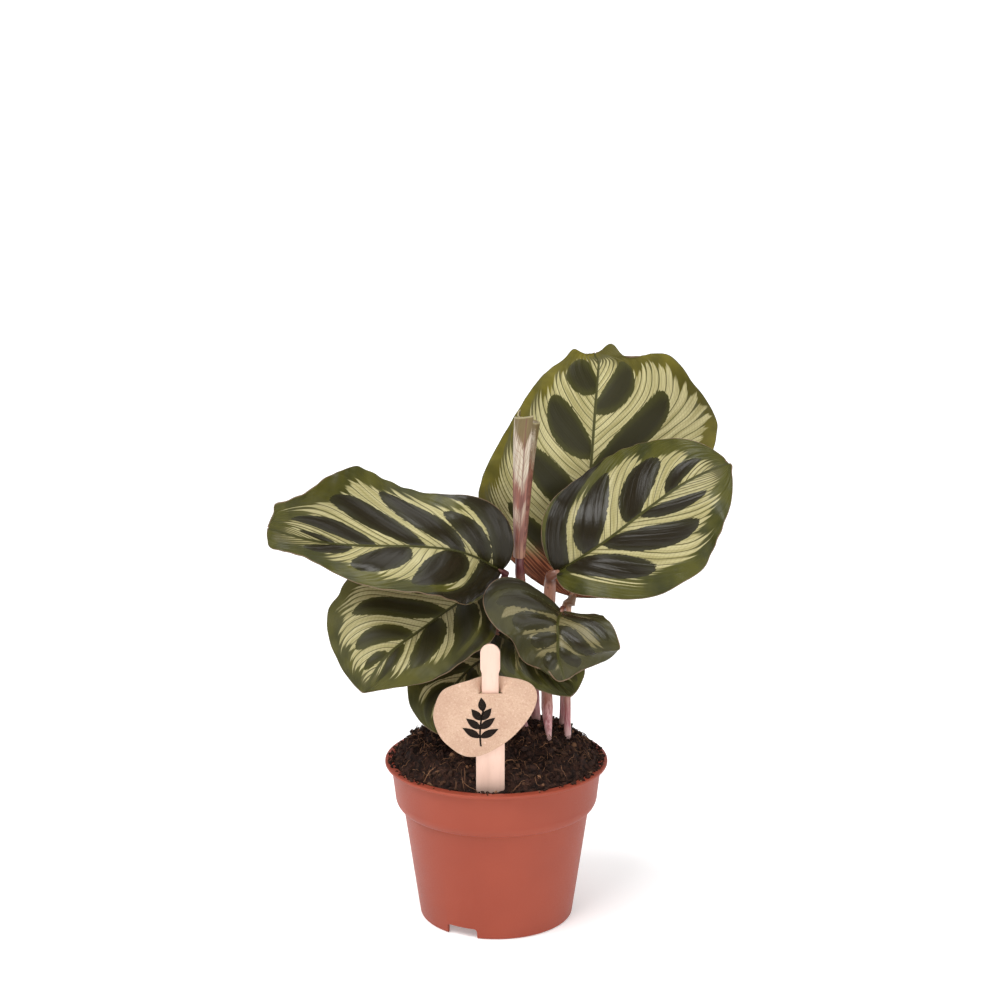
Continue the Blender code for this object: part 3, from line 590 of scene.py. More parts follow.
def mesh_of(name, points, faces, material_index=None):
    mesh = bpy.data.meshes.new(name)
    mesh.from_pydata([tuple(p) for p in points], [], [tuple(int(i) for i in f) for f in faces])
    if material_index is not None:
        mesh.polygons.foreach_set("material_index", np.asarray(material_index, np.int32))
    mesh.validate()
    mesh.update()
    return mesh


def evaluated_copy(obj, name):
    """The mesh that an object's modifiers make, with the object then removed."""
    bpy.context.view_layer.update()
    graph = bpy.context.evaluated_depsgraph_get()
    mesh = bpy.data.meshes.new_from_object(obj.evaluated_get(graph))
    mesh.name = name
    mesh.transform(obj.matrix_world)
    bpy.data.objects.remove(obj)
    return mesh


def mesh_from(bm, name):
    """A new mesh of what a bmesh holds, which is then freed."""
    mesh = bpy.data.meshes.new(name)
    bm.to_mesh(mesh)
    bm.free()
    return mesh


def weld(mesh, distance=1e-6):
    bm = bmesh.new()
    bm.from_mesh(mesh)
    bmesh.ops.remove_doubles(bm, verts=bm.verts, dist=distance)
    bmesh.ops.recalc_face_normals(bm, faces=bm.faces)
    bm.to_mesh(mesh)
    bm.free()


def thicken(obj, thickness):
    solidify = obj.modifiers.new("Thickness", "SOLIDIFY")
    solidify.thickness = thickness
    solidify.offset = 0


def cut(obj, cutter, operation="DIFFERENCE"):
    boolean = obj.modifiers.new(cutter.name, "BOOLEAN")
    boolean.operation = operation
    boolean.solver = "EXACT"
    boolean.object = cutter


def grid_faces(rows, columns, start=0, turned=False, closed=False):
    """Quads of a grid of points numbered row by row."""
    faces = []
    last = columns if closed else columns - 1
    for i in range(rows - 1):
        for j in range(last):
            k = (j + 1) % columns
            a, b = start + i * columns + j, start + i * columns + k
            c, d = start + (i + 1) * columns + k, start + (i + 1) * columns + j
            faces.append((d, c, b, a) if turned else (a, b, c, d))
    return faces


def tube_faces(rings, sides, start=0):
    """The faces of a closed tube of rings, with a cap at each end."""
    faces = grid_faces(rings, sides, start, closed=True)
    faces.append(tuple(start + j for j in range(sides))[::-1])
    faces.append(tuple(start + (rings - 1) * sides + j for j in range(sides)))
    return faces


# Materials


class Paint:
    """One material's nodes. Values that are sockets are linked, and others are set."""

    def __init__(self, name):
        self.material = bpy.data.materials.new(name)
        self.material.use_nodes = True
        self.tree = self.material.node_tree
        self.shader = self.tree.nodes["Principled BSDF"]

    def put(self, socket, value):
        if isinstance(value, bpy.types.NodeSocket):
            self.tree.links.new(value, socket)
        elif hasattr(value, "__len__") and len(value) == 3 and len(socket.default_value) == 4:
            socket.default_value = (*value, 1)
        else:
            socket.default_value = value

    def node(self, kind, inputs=None, **settings):
        made = self.tree.nodes.new("ShaderNode" + kind)
        for key, value in settings.items():
            setattr(made, key, value)
        for key, value in (inputs or {}).items():
            self.put(made.inputs[key], value)
        return made

    def attribute(self, name):
        return self.node("Attribute", attribute_name=name).outputs["Fac"]

    def place(self):
        return self.node("TexCoord").outputs["Object"]

    def maths(self, operation, a, b=0.0):
        return self.node("Math", {0: a, 1: b}, operation=operation).outputs[0]

    def plus(self, a, b):
        return self.maths("ADD", a, b)

    def minus(self, a, b):
        return self.maths("SUBTRACT", a, b)

    def times(self, a, b):
        return self.maths("MULTIPLY", a, b)

    def over(self, a, b):
        return self.maths("DIVIDE", a, b)

    def vector(self, x=0.0, y=0.0, z=0.0):
        return self.node("CombineXYZ", {0: x, 1: y, 2: z}).outputs[0]

    def scaled(self, vector, size):
        """A vector times a number along each axis."""
        return self.node("VectorMath", {0: vector, 1: size}, operation="MULTIPLY").outputs[0]

    def noise(self, vector, scale=1.0, detail=2.0, roughness=0.5):
        sockets = {"Vector": vector, "Scale": scale, "Detail": detail, "Roughness": roughness}
        return self.node("TexNoise", sockets).outputs[0]

    def shift(self, noise, most):
        """Noise as a shift to both sides of 0."""
        return self.times(self.minus(noise, 0.5), most)

    def step(self, value, low, high, out_low=0.0, out_high=1.0):
        """A smooth rise from out_low at low to out_high at high."""
        sockets = {0: value, 1: low, 2: high, 3: out_low, 4: out_high}
        return self.node("MapRange", sockets, interpolation_type="SMOOTHSTEP").outputs[0]

    def mix(self, share, a, b):
        made = self.node("Mix", data_type="RGBA")
        self.put(made.inputs[0], share)
        self.put(made.inputs[6], a)
        self.put(made.inputs[7], b)
        return made.outputs[2]

    def bump(self, height, distance, strength=1.0):
        sockets = {"Strength": strength, "Distance": distance, "Height": height}
        return self.node("Bump", sockets).outputs[0]

    def finish(self, **sockets):
        for name, value in sockets.items():
            self.put(self.shader.inputs[name.replace("_", " ")], value)
        return self.material


def line_distance(paint, place, pitch, squeeze):
    """True mm to the nearest of the lines at each pitch of place, where veins crowd together by squeeze."""
    cell = paint.maths("FRACT", paint.over(place, pitch))
    off = paint.maths("ABSOLUTE", paint.minus(cell, 0.5))
    return paint.over(paint.times(off, pitch), squeeze)


def lines(paint, distance, half_width):
    return paint.step(distance, half_width * 1.6, half_width * 0.5)


def drawn_out(paint, first, second, level, first_scale, second_scale, detail=2.0):
    """Noise drawn out into grains by its scales in two directions on the leaf, with others at each level."""
    stretched = paint.vector(paint.times(first, first_scale), paint.times(second, second_scale), level)
    return paint.noise(stretched, detail=detail)


def vein_fields(paint):
    """What the upper and lower face of a blade share: its lines, streaks and marks, as masks."""
    vein = paint.attribute("vein_mm")
    reach = paint.attribute("reach_mm")
    half = paint.attribute("half")
    squeeze = paint.attribute("squeeze")
    edge = paint.attribute("edge_mm")
    wander = drawn_out(paint, vein, reach, half, 0.1, 0.05)
    bent = paint.plus(vein, paint.times(wander, VEIN_WANDER))
    streak = drawn_out(paint, bent, reach, half, 0.6, 0.06, 1.5)
    jag = drawn_out(paint, bent, reach, half, 1.6, 0.5)
    hair = drawn_out(paint, bent, reach, half, 1.3, 0.04, 1)
    ladder_row = paint.maths("FLOOR", paint.over(bent, FINE_PITCH))
    ladder = paint.plus(reach, paint.times(ladder_row, LADDER_SHIFT))
    jagged = paint.plus(paint.attribute("mark_mm"), paint.shift(jag, MARK_JAG))
    tongue = paint.plus(paint.shift(streak, TONGUE), paint.shift(hair, TONGUE_HAIR))
    off_main = line_distance(paint, bent, MAIN_PITCH, squeeze)
    finger = paint.times(paint.maths("MINIMUM", off_main, FINGER_MOST), FINGER)
    inside = paint.plus(paint.plus(edge, tongue), paint.attribute("rim_mm"))
    inside = paint.plus(inside, paint.minus(finger, FINGER * FINGER_MOST / 2))
    spread = paint.step(edge, *SPREAD_REACH, 0.0, VEIN_SPREAD)
    return {
        "streak": streak, "edge": edge, "rib": paint.attribute("midrib_mm"), "grain": (bent, reach, half),
        "main": lines(paint, paint.minus(off_main, spread), MAIN_LINE),
        "fine": lines(paint, line_distance(paint, bent, FINE_PITCH, squeeze), FINE_LINE),
        "cross": lines(paint, line_distance(paint, ladder, LADDER_PITCH, 1.0), CROSS_LINE),
        "mark": paint.step(jagged, *MARK_EDGE), "mark_core": paint.step(jagged, *MARK_CORE),
        "pale": paint.step(inside, *PALE_EDGE),
    }


def leaf_upper():
    """Pale ground with dark marks inside a plain green rim, crossed by veins and a fine ladder of lines."""
    paint = Paint("leaf_upper")
    field = vein_fields(paint)
    vivid_unshaded = paint.attribute("vivid_unshaded")
    warm = paint.attribute("warm")
    gloss = paint.attribute("gloss")
    mottle = paint.step(paint.noise(paint.place(), scale=75, detail=3), 0.35, 0.65)
    cool_rim = paint.mix(mottle, (0.019, 0.025, 0.007), (0.046, 0.050, 0.010))
    warm_rim = paint.mix(mottle, (0.070, 0.060, 0.006), (0.130, 0.108, 0.010))
    rim = paint.mix(warm, cool_rim, warm_rim)
    pale = paint.mix(paint.step(field["streak"], 0.3, 0.7), (0.31, 0.275, 0.115), (0.49, 0.44, 0.23))
    # Less vivid leaves get a duller, darker pale ground: partly their own tone, partly painted shade.
    pale = paint.mix(vivid_unshaded, (0.11, 0.085, 0.032), pale)
    pale = paint.mix(paint.times(field["cross"], 0.35), pale, (0.13, 0.115, 0.03))
    pale = paint.mix(paint.times(field["fine"], 0.35), pale, (0.13, 0.115, 0.03))
    pale = paint.mix(paint.times(field["main"], 0.9), pale, (0.055, 0.05, 0.012))
    ground = paint.mix(field["pale"], rim, pale)
    # Glossy marks are darker, since their real gloss adds light, and tinted purple as painted lilac sheen.
    core = paint.mix(gloss, (0.021, 0.0185, 0.0035), (0.0145, 0.0110, 0.0050))
    halo = paint.mix(gloss, (0.040, 0.038, 0.005), (0.025, 0.023, 0.010))
    colour = paint.mix(field["mark"], ground, paint.mix(field["mark_core"], halo, core))
    # Painted shade and light: the back leaf's base is dark red as if in shade, with orange streaks painted as
    # light shining through the leaf.
    shade_glow_colour = paint.mix(paint.step(field["streak"], 0.45, 0.65), (0.075, 0.02, 0.008), (0.30, 0.10, 0.045))
    colour = paint.mix(paint.attribute("rust"), colour, shade_glow_colour)
    # The face outside the marks is darkened and browned, most on the front leaf: partly the leaf's own brown
    # tone, partly painted shade.
    painted_shade_share = paint.times(paint.attribute("brown"), paint.step(field["mark"], 0.0, 1.0, 0.7, 0.1))
    colour = paint.mix(painted_shade_share, colour, (0.036, 0.026, 0.012))
    colour = paint.mix(paint.step(field["rib"], *MIDRIB_LINE), colour, (0.050, 0.048, 0.011))
    line = paint.mix(warm, (0.20, 0.125, 0.08), (0.075, 0.068, 0.022))
    colour = paint.mix(paint.step(field["edge"], *MARGIN_LINE), colour, line)
    skin = drawn_out(paint, *field["grain"], 2.2, 1.4)
    fold = drawn_out(paint, *field["grain"], 0.4, 0.05, 0.5)
    fine_height = paint.minus(skin, paint.times(field["main"], 0.5))
    folded = paint.times(fold, paint.times(gloss, 7.0))
    normal = paint.bump(paint.plus(fine_height, folded), 0.0001, 0.6)
    dull = paint.step(gloss, 0.0, 1.0, 0.5, 0.3)
    sheen = paint.times(paint.times(field["mark"], gloss), 0.1)
    return paint.finish(
        Base_Color=colour, Roughness=paint.minus(dull, sheen), Normal=normal, IOR=1.5, Specular_IOR_Level=0.2,
    )


def leaf_under():
    """The same pattern in plum."""
    paint = Paint("leaf_underside")
    field = vein_fields(paint)
    plum = paint.mix(paint.step(field["streak"], 0.3, 0.7), (0.15, 0.04, 0.045), (0.24, 0.085, 0.075))
    plum = paint.mix(paint.times(field["main"], 0.6), plum, (0.34, 0.17, 0.12))
    green_edge = paint.mix(field["pale"], (0.12, 0.075, 0.03), plum)
    colour = paint.mix(field["mark"], green_edge, (0.085, 0.02, 0.03))
    colour = paint.mix(paint.step(field["rib"], *MIDRIB_LINE_BELOW), colour, (0.30, 0.17, 0.11))
    height = paint.plus(field["streak"], paint.times(field["main"], 0.7))
    return paint.finish(Base_Color=colour, Roughness=0.5, Normal=paint.bump(height, 0.0002, 0.7))


def furled_paint():
    """A rolled blade's back: slanted cream bands on pinkish brown, olive at the mouth and tan at the foot."""
    paint = Paint("furled_leaf")
    along = paint.attribute("along_mm")
    around = paint.attribute("around_mm")
    mouth = paint.attribute("mouth_mm")
    seam = paint.attribute("seam_mm")
    left = paint.times(paint.maths("MAXIMUM", paint.times(seam, -1.0), 0.0), FURLED_SLANT[0])
    right = paint.times(paint.maths("MAXIMUM", seam, 0.0), FURLED_SLANT[1])
    wander = drawn_out(paint, along, around, 4.0, 0.1, 0.15)
    hair = drawn_out(paint, along, around, 1.0, 0.12, 3.0)
    fibre = drawn_out(paint, along, around, 5.0, 0.07, 1.6)
    slant = paint.plus(paint.plus(paint.plus(mouth, left), right), paint.times(wander, FURLED_WANDER))
    ragged = paint.plus(slant, paint.shift(hair, FURLED_RAG))
    shown = 0.0
    for start, end, strength in FURLED_BANDS:
        begun = paint.step(ragged, start, start + FURLED_FEATHER[0])
        band = paint.times(begun, paint.step(ragged, end, end - FURLED_FEATHER[1]))
        shown = paint.maths("MAXIMUM", shown, paint.times(band, strength))
    vein = line_distance(paint, slant, FURLED_VEIN_PITCH, 1.0)
    skin = paint.mix(paint.step(fibre, 0.3, 0.7), (0.13, 0.042, 0.030), (0.27, 0.105, 0.072))
    olive = paint.mix(hair, (0.075, 0.056, 0.012), (0.175, 0.135, 0.038))
    skin = paint.mix(paint.step(mouth, *OLIVE_REACH, 0.0, 0.85), skin, olive)
    skin = paint.mix(paint.step(mouth, *TAN_REACH, 0.0, 0.6), skin, (0.38, 0.20, 0.12))
    cream = paint.mix(paint.step(fibre, 0.3, 0.7), (0.32, 0.24, 0.17), (0.56, 0.49, 0.38))
    cream = paint.mix(paint.step(vein, *FURLED_VEIN, 0.0, 0.6), cream, (0.26, 0.13, 0.08))
    colour = paint.mix(shown, skin, cream)
    crease = paint.step(paint.maths("ABSOLUTE", seam), 0.35, 0.1, 0.0, 0.7)
    colour = paint.mix(crease, colour, (0.13, 0.045, 0.03))
    colour = paint.mix(paint.step(mouth, 0.7, 0.3), colour, (0.30, 0.25, 0.13))
    normal = paint.bump(paint.plus(fibre, hair), 0.00018, 0.7)
    return paint.finish(Base_Color=colour, Roughness=0.42, Normal=normal)


def stalk_paint():
    paint = Paint("stalk")
    tone = paint.attribute("tone")
    joint = paint.attribute("joint")
    foot = paint.attribute("foot")
    streak = paint.noise(paint.scaled(paint.place(), (900, 900, 60)), detail=3, roughness=0.6)
    spot = paint.noise(paint.scaled(paint.place(), (500, 500, 260)), detail=2)
    pink = paint.mix(streak, (0.30, 0.13, 0.075), (0.50, 0.27, 0.17))
    brown = paint.mix(streak, (0.10, 0.026, 0.02), (0.25, 0.085, 0.06))
    colour = paint.mix(tone, pink, brown)
    colour = paint.mix(paint.step(spot, 0.64, 0.72), colour, (0.10, 0.03, 0.025))
    flush = paint.mix(paint.step(streak, 0.35, 0.65), (0.30, 0.075, 0.085), (0.66, 0.36, 0.36))
    colour = paint.mix(foot, colour, paint.mix(paint.attribute("root"), flush, (0.70, 0.45, 0.42)))
    colour = paint.mix(joint, colour, paint.mix(tone, (0.15, 0.075, 0.035), (0.10, 0.014, 0.018)))
    return paint.finish(Base_Color=colour, Roughness=0.4, Normal=paint.bump(streak, 0.0002, 0.5))


def soil_paint():
    paint = Paint("soil")
    shade = paint.attribute("shade")
    coarse = paint.noise(paint.place(), scale=420, detail=4, roughness=0.65)
    fine = paint.noise(paint.place(), scale=2600, detail=3, roughness=0.7)
    colour = paint.mix(paint.step(coarse, 0.35, 0.7), (0.0095, 0.0042, 0.0028), (0.052, 0.021, 0.013))
    colour = paint.mix(paint.step(shade, 0.0, 1.0), colour, (0.27, 0.135, 0.07))
    height = paint.plus(coarse, paint.times(fine, 0.5))
    normal = paint.bump(height, 0.0008, 0.9)
    return paint.finish(Base_Color=colour, Roughness=0.92, Normal=normal, Specular_IOR_Level=0.25)


def pot_paint():
    paint = Paint("terracotta_plastic")
    cloud = paint.noise(paint.place(), scale=28, detail=3)
    grain = paint.noise(paint.place(), scale=1900, detail=2)
    scuff = paint.noise(paint.scaled(paint.place(), (60, 60, 240)), detail=4, roughness=0.7)
    colour = paint.mix(paint.step(cloud, 0.3, 0.7), (0.262, 0.046, 0.0225), (0.290, 0.053, 0.026))
    colour = paint.mix(paint.step(scuff, 0.68, 0.82, 0.0, 0.12), colour, (0.44, 0.14, 0.09))
    roughness = paint.step(grain, 0.3, 0.7, 0.44, 0.54)
    normal = paint.bump(grain, 0.00005, 0.5)
    return paint.finish(Base_Color=colour, Roughness=roughness, Normal=normal, Specular_IOR_Level=0.28)


def wood_paint():
    paint = Paint("pale_wood")
    grain = paint.noise(paint.scaled(paint.place(), (1500, 1500, 40)), detail=3, roughness=0.6)
    band = paint.noise(paint.scaled(paint.place(), (260, 260, 9)), detail=2)
    colour = paint.mix(paint.step(band, 0.35, 0.7), (0.74, 0.51, 0.41), (0.68, 0.455, 0.36))
    colour = paint.mix(paint.step(grain, 0.55, 0.8, 0.0, 0.5), colour, (0.55, 0.36, 0.26))
    return paint.finish(Base_Color=colour, Roughness=0.62, Normal=paint.bump(grain, 0.0001, 0.5))


def kraft_paint():
    paint = Paint("kraft_card")
    pulp = paint.noise(paint.place(), scale=1300, detail=4, roughness=0.75)
    speck = paint.noise(paint.place(), scale=2300, detail=2)
    cloud = paint.noise(paint.place(), scale=70, detail=3)
    colour = paint.mix(paint.step(cloud, 0.3, 0.7), (0.48, 0.31, 0.215), (0.55, 0.37, 0.26))
    colour = paint.mix(paint.step(pulp, 0.48, 0.7, 0.0, 0.7), colour, (0.40, 0.22, 0.15))
    colour = paint.mix(paint.step(pulp, 0.44, 0.3, 0.0, 0.7), colour, (0.74, 0.54, 0.43))
    colour = paint.mix(paint.step(speck, 0.7, 0.76, 0.0, 0.7), colour, (0.30, 0.15, 0.09))
    return paint.finish(Base_Color=colour, Roughness=0.8, Normal=paint.bump(pulp, 0.00008, 0.6))


def ink_paint():
    paint = Paint("dark_print")
    wear = paint.noise(paint.place(), scale=1800, detail=3, roughness=0.7)
    colour = paint.mix(paint.step(wear, 0.6, 0.78), (0.012, 0.008, 0.006), (0.10, 0.055, 0.035))
    return paint.finish(Base_Color=colour, Roughness=0.8, Specular_IOR_Level=0.1)


def floor_paint():
    """White paper that glows a little away from the plant, as a lit backdrop does."""
    paint = Paint("studio_floor")
    paper = paint.noise(paint.place(), scale=3, detail=2)
    colour = paint.mix(paper, (0.90, 0.90, 0.90), (0.92, 0.92, 0.92))
    away = paint.node("VectorMath", {0: paint.place()}, operation="LENGTH").outputs["Value"]
    glow = paint.step(away, *GLOW_REACH, FLOOR_GLOW, BACKDROP_GLOW)
    return paint.finish(Base_Color=colour, Roughness=0.9, Emission_Color=(1, 1, 1), Emission_Strength=glow)


# Leaves


def half_surface(leaf, side, sign, turn, across):
    """Points in mm of one half of a blade's middle surface, rows by columns."""
    bulge = np.sin(np.pi * turn)
    shares = midrib_share(turn)
    places, tangents, normals = frame_along(leaf["midrib"], leaf["face"], shares)
    sides = np.cross(tangents, normals)
    width = bulge * spline(leaf[side], turn)[:, 0]
    fold = np.radians(spline(leaf[side + "_fold"], shares))
    curl = np.radians(spline(leaf[side + "_curl"], shares))
    height, count, start = leaf[side + "_wave"]
    wave = height * np.sin(2 * np.pi * (count * turn + start)) * bulge
    steps = (np.arange(BEND_STEPS) + 0.5) / BEND_STEPS
    slope = fold[:, None, :] + curl[:, None, :] * (across[None, :, None] * steps)
    out = width[:, None] * across * np.cos(slope).mean(axis=2)
    up = width[:, None] * across * np.sin(slope).mean(axis=2) + wave[:, None] * across**2
    points = places[:, None] + sign * out[..., None] * sides[:, None] + up[..., None] * normals[:, None]
    return points, width


def vein_place(shares, across, veins):
    """The share of the midrib where the side vein through each point begins."""
    early, later, rim = veins
    bend = rim * across**5
    return (shares - early * across - bend) / (1 + later * across - bend)


def mark_field(place, across, marks):
    """About 1 in the middle of a mark, 0 at its edge and below 0 outside; with it the nearest mark's half
    width, how far the swell of the marks goes, and 0 on a mark's line to 1 midway between two lines."""
    best = np.full(place.shape, -MARK_FAR)
    size = np.full(place.shape, marks[0][1])
    swell = np.zeros(place.shape)
    apart = np.full(place.shape, MARK_FAR)
    for centre, half, end, lean in marks:
        share = across / end
        inner = 1 - MARK_FOOT * ((MARK_WIDEST - share) / MARK_WIDEST) ** 2
        outer = np.sqrt(np.clip(1 - ((share - MARK_WIDEST) / (1 - MARK_WIDEST)) ** 2, 0, 1))
        shape = np.where(share < MARK_WIDEST, inner, outer) if end < 1 else np.ones_like(share)
        off = np.abs(place - centre - lean * across) / half
        value = shape - off - MARK_END * np.maximum(share - 1, 0)
        nearer = value > best
        best = np.where(nearer, value, best)
        size = np.where(nearer, half, size)
        apart = np.minimum(apart, off)
        swell += np.exp(-((off / MARK_SWELL) ** 2)) * np.sin(np.pi * np.clip(share, 0, 1)) ** 0.7
    near, far = MARKS_APART
    return best, size, swell, np.clip((apart - near) / (far - near), 0, 1)


def nicked(points, width, turn, across, nicks):
    """The half blade with its outline drawn in at each nick, and out where the depth is negative."""
    if not nicks:
        return points
    rim = points[:, -1]
    along = unit(np.gradient(rim, axis=0))
    inward = unit(points[:, -4] - rim)
    inward = unit(inward - (inward * along).sum(axis=1, keepdims=True) * along)
    depth = sum(d * np.exp(-(((turn - place) / half) ** 2)) for place, half, d in nicks)
    hold = np.minimum(1, np.maximum(width, 2) / NICK_HOLD)
    share = across ** (2 + 2 * hold[:, None])
    return points + (depth[:, None] * share)[..., None] * inward[:, None]


def margin_columns(width):
    """Shares of the half width from the midrib to a rounded margin, closer together at both ends."""
    even = np.linspace(0, 1, HALF_COLUMNS)
    inner = (even + COLUMN_SPREAD * even * even) / (1 + COLUMN_SPREAD)
    edge = 1 - np.array(MARGIN_STEPS) * 0.5 * BLADE_SKIN / width
    return np.concatenate([inner[:-1] * (edge[-1] - 0.004), edge[::-1]])


def blade_half(name, leaf, side, sign, turn):
    """One half's surface, its fields and its skin thickness, all rows by columns."""
    bulge = np.sin(np.pi * turn)[:, None]
    shares = midrib_share(turn)[:, None]
    look = HALVES[name][side]
    across = margin_columns(float(np.median(bulge[:, 0] * spline(leaf[side], turn)[:, 0])))
    points, width = half_surface(leaf, side, sign, turn, across)
    length = run_along(points[:, 0])[-1]
    drawn = smooth_step(shares, TIP_SHIFT_START, 1)[..., None]
    points = points + drawn * np.array(TIP_SHIFT.get(name, (0, 0, 0)))
    points = nicked(points, width, turn, across, look["nicks"])
    spread = np.broadcast_to(across, points.shape[:2])
    off_midrib = width[:, None] * spread
    place = vein_place(shares, spread, look["veins"])
    value, size, swell, between = mark_field(place, spread, look["marks"])
    ribs = RIB * np.sin(2 * np.pi * place * length / RIB_PITCH) * np.sin(np.pi * spread)
    relief = (TINTS[name]["ridge"] * swell + ribs) * smooth_step(bulge, *RELIEF_REACH)
    ripple = np.sin(2 * np.pi * turn[:, None] * length / RIPPLE_PITCH + 2 * sign)
    ripple = RIPPLE * spread**6 * ripple * bulge
    groove = GROOVE * np.exp(-((off_midrib / GROOVE_WIDTH) ** 2)) * smooth_step(1 - shares, *GROOVE_FADE)
    edge_share = (spread - across[-4]) / (1 - across[-4])
    skin = BLADE_SKIN * np.sqrt(np.clip(1 - np.clip(edge_share, 0, 1) ** 2, 0, 1))
    return dict(
        points=points, lift=relief + ripple - groove, skin=skin, place=place * length,
        reach=off_midrib * VEIN_SLANT, midrib=off_midrib, mark=value * size * length * MARK_SLANT,
        half=np.full(spread.shape, float(sign)),
        inside=-spline(look["rim"], turn) - RIM_DIP * (1 - between) ** 1.5,
    )


def surface_normals(points):
    """Unit normals of a grid of points, from its rows and columns."""
    along = np.gradient(points, axis=0)
    across = np.gradient(points, axis=1)
    return unit(np.cross(across, along))


def crowding(field, points):
    """How many times faster a field in mm changes than distance on the surface does."""
    found = []
    for axis in (0, 1):
        step = np.linalg.norm(np.gradient(points, axis=axis), axis=-1)
        found.append(np.gradient(field, axis=axis) / np.maximum(step, 0.05))
    return np.clip(np.hypot(*found), 1, CROWDING_MOST)


def margin_distance(points):
    """The distance in mm from each point of a blade to the nearest point of its outline."""
    rim = np.concatenate([points[:, 0], points[:, -1], points[0], points[-1]])
    flat = points.reshape(-1, 3)
    best = np.full(len(flat), 1e9)
    for start in range(0, len(rim), 40):
        apart = np.linalg.norm(flat[:, None] - rim[None, start : start + 40], axis=2)
        best = np.minimum(best, apart.min(axis=1))
    return best.reshape(points.shape[:2])


def keel(midrib, shares):
    """Extra thickness in mm below the midrib, which thins toward the tip."""
    return KEEL * (1 - KEEL_TAPER * shares) * np.exp(-((midrib / KEEL_WIDTH) ** 2))


def blade_faces(rows, columns, turned):
    """The faces of a blade's two sides, joined at base and tip, and for each face 0 above or 1 below."""
    below = rows * columns
    above_faces = grid_faces(rows, columns, 0, turned)
    faces = above_faces + grid_faces(rows, columns, below, not turned)
    index = [0] * len(above_faces) + [1] * len(above_faces)
    for row, flip in ((0, turned), (rows - 1, not turned)):
        for j in range(columns - 1):
            a = row * columns + j
            b = a + below
            faces.append((a, b, b + 1, a + 1) if flip else (a + 1, b + 1, b, a))
            index.append(0)
    return faces, index


def make_blade(number, name, leaf):
    turn = np.linspace(BLADE_END, 1 - BLADE_END, BLADE_ROWS)
    shares = midrib_share(turn)[:, None]
    left = blade_half(name, leaf, "left", -1, turn)
    right = blade_half(name, leaf, "right", 1, turn)
    whole = {key: np.concatenate([left[key][:, :0:-1], right[key]], axis=1) for key in left}
    normals = surface_normals(whole["points"])
    facing = spline(leaf["face"], shares[:, 0])[:, None]
    normals *= np.sign((normals * facing).sum(axis=2).mean())
    middle = whole["points"] + whole["lift"][..., None] * normals
    above = middle + whole["skin"][..., None] / 2 * normals
    deep = whole["skin"] / 2 + keel(whole["midrib"], shares) * (whole["skin"] > 0)
    below = middle - deep[..., None] * normals
    turned = np.cross(middle[1, 1] - middle[1, 0], middle[2, 0] - middle[1, 0]) @ normals[1, 0] < 0
    points = np.concatenate([above.reshape(-1, 3), below.reshape(-1, 3)]) * MM
    mesh = mesh_of(name + "_blade_skin", points, *blade_faces(*middle.shape[:2], turned))
    fields = {
        "vein_mm": whole["place"], "reach_mm": whole["reach"], "mark_mm": whole["mark"],
        "midrib_mm": whole["midrib"], "half": whole["half"] * HALF_LEVEL + number * LEAF_LEVEL,
        "squeeze": crowding(whole["place"], whole["points"]), "edge_mm": margin_distance(whole["points"]),
        "rim_mm": whole["inside"],
    }
    tint = TINTS[name]
    for key in ("vivid_unshaded", "warm", "gloss", "brown"):
        fields[key] = np.full(whole["half"].shape, tint[key])
    # The painted shade and glow of the base, strongest at the foot of the midrib.
    fields["rust"] = tint["rust"] * smooth_step(shares, SHADE_GLOW_END, SHADE_GLOW_END / 2) * np.ones_like(whole["half"])
    for key, values in fields.items():
        set_attribute(mesh, key, np.concatenate([values.ravel(), values.ravel()]))
    weld(mesh)
    finish_object(name + "_skin", mesh, LEAF_MATERIALS, [name + "_blade"])


def furled_surface(rows, steps):
    """The rolled blade's sheet in mm, with each point's distance along it, round it and from its seam."""
    shares = np.linspace(0, 1, rows)
    places, tangents, normals = frame_along(FURLED["axis"], FURLED["face"], shares)
    radius = spline(FURLED["radius"], shares)
    turns = np.linspace(0, FURLED_TURNS, steps)
    angle = math.tau * turns + math.radians(FURLED_START)
    shares = shares[:, None]
    wrinkle = FURLED_WRINKLE * np.sin(9 * angle + 8 * shares) * shares
    reach = radius - FURLED_PITCH * turns + wrinkle
    dip = FURLED["mouth_dip"] * shares**6 * np.sin(np.pi * turns / FURLED_TURNS)
    out = spokes(angle, np.cross(tangents, normals), normals)
    points = places[:, None] + reach[..., None] * out - dip[..., None] * tangents[:, None]
    along = shares * run_along(places)[-1] - dip
    return points, along, reach * angle, reach * (angle - math.radians(FURLED_SEAM))


def make_furled():
    name = "furled_leaf_roll"
    points, along, around, seam = furled_surface(FURLED_ROWS, FURLED_STEPS)
    mesh = mesh_of(name, points.reshape(-1, 3) * MM, grid_faces(FURLED_ROWS, FURLED_STEPS))
    fields = {"along_mm": along, "around_mm": around, "mouth_mm": along[-1] - along, "seam_mm": seam}
    for key, values in fields.items():
        set_attribute(mesh, key, values)
    roll = linked(name, mesh)
    thicken(roll, BLADE_SKIN * MM)
    mesh = evaluated_copy(roll, name)
    finish_object(name, mesh, [FURLED_MATERIAL], ["furled_leaf_blade"], 60)


# Stalks


def stalk_line(points, base, ahead):
    """The stalk's line in metres, from the soil into the foot of its blade."""
    end = base - ahead * JOINT_GAP
    before = end - ahead * JOINT_STRAIGHT
    line = line_through([*points, before], np.linspace(0, 1, STALK_STEPS))
    beyond = base + ahead * JOINT_REACH
    return np.vstack([line, end, beyond]) * MM


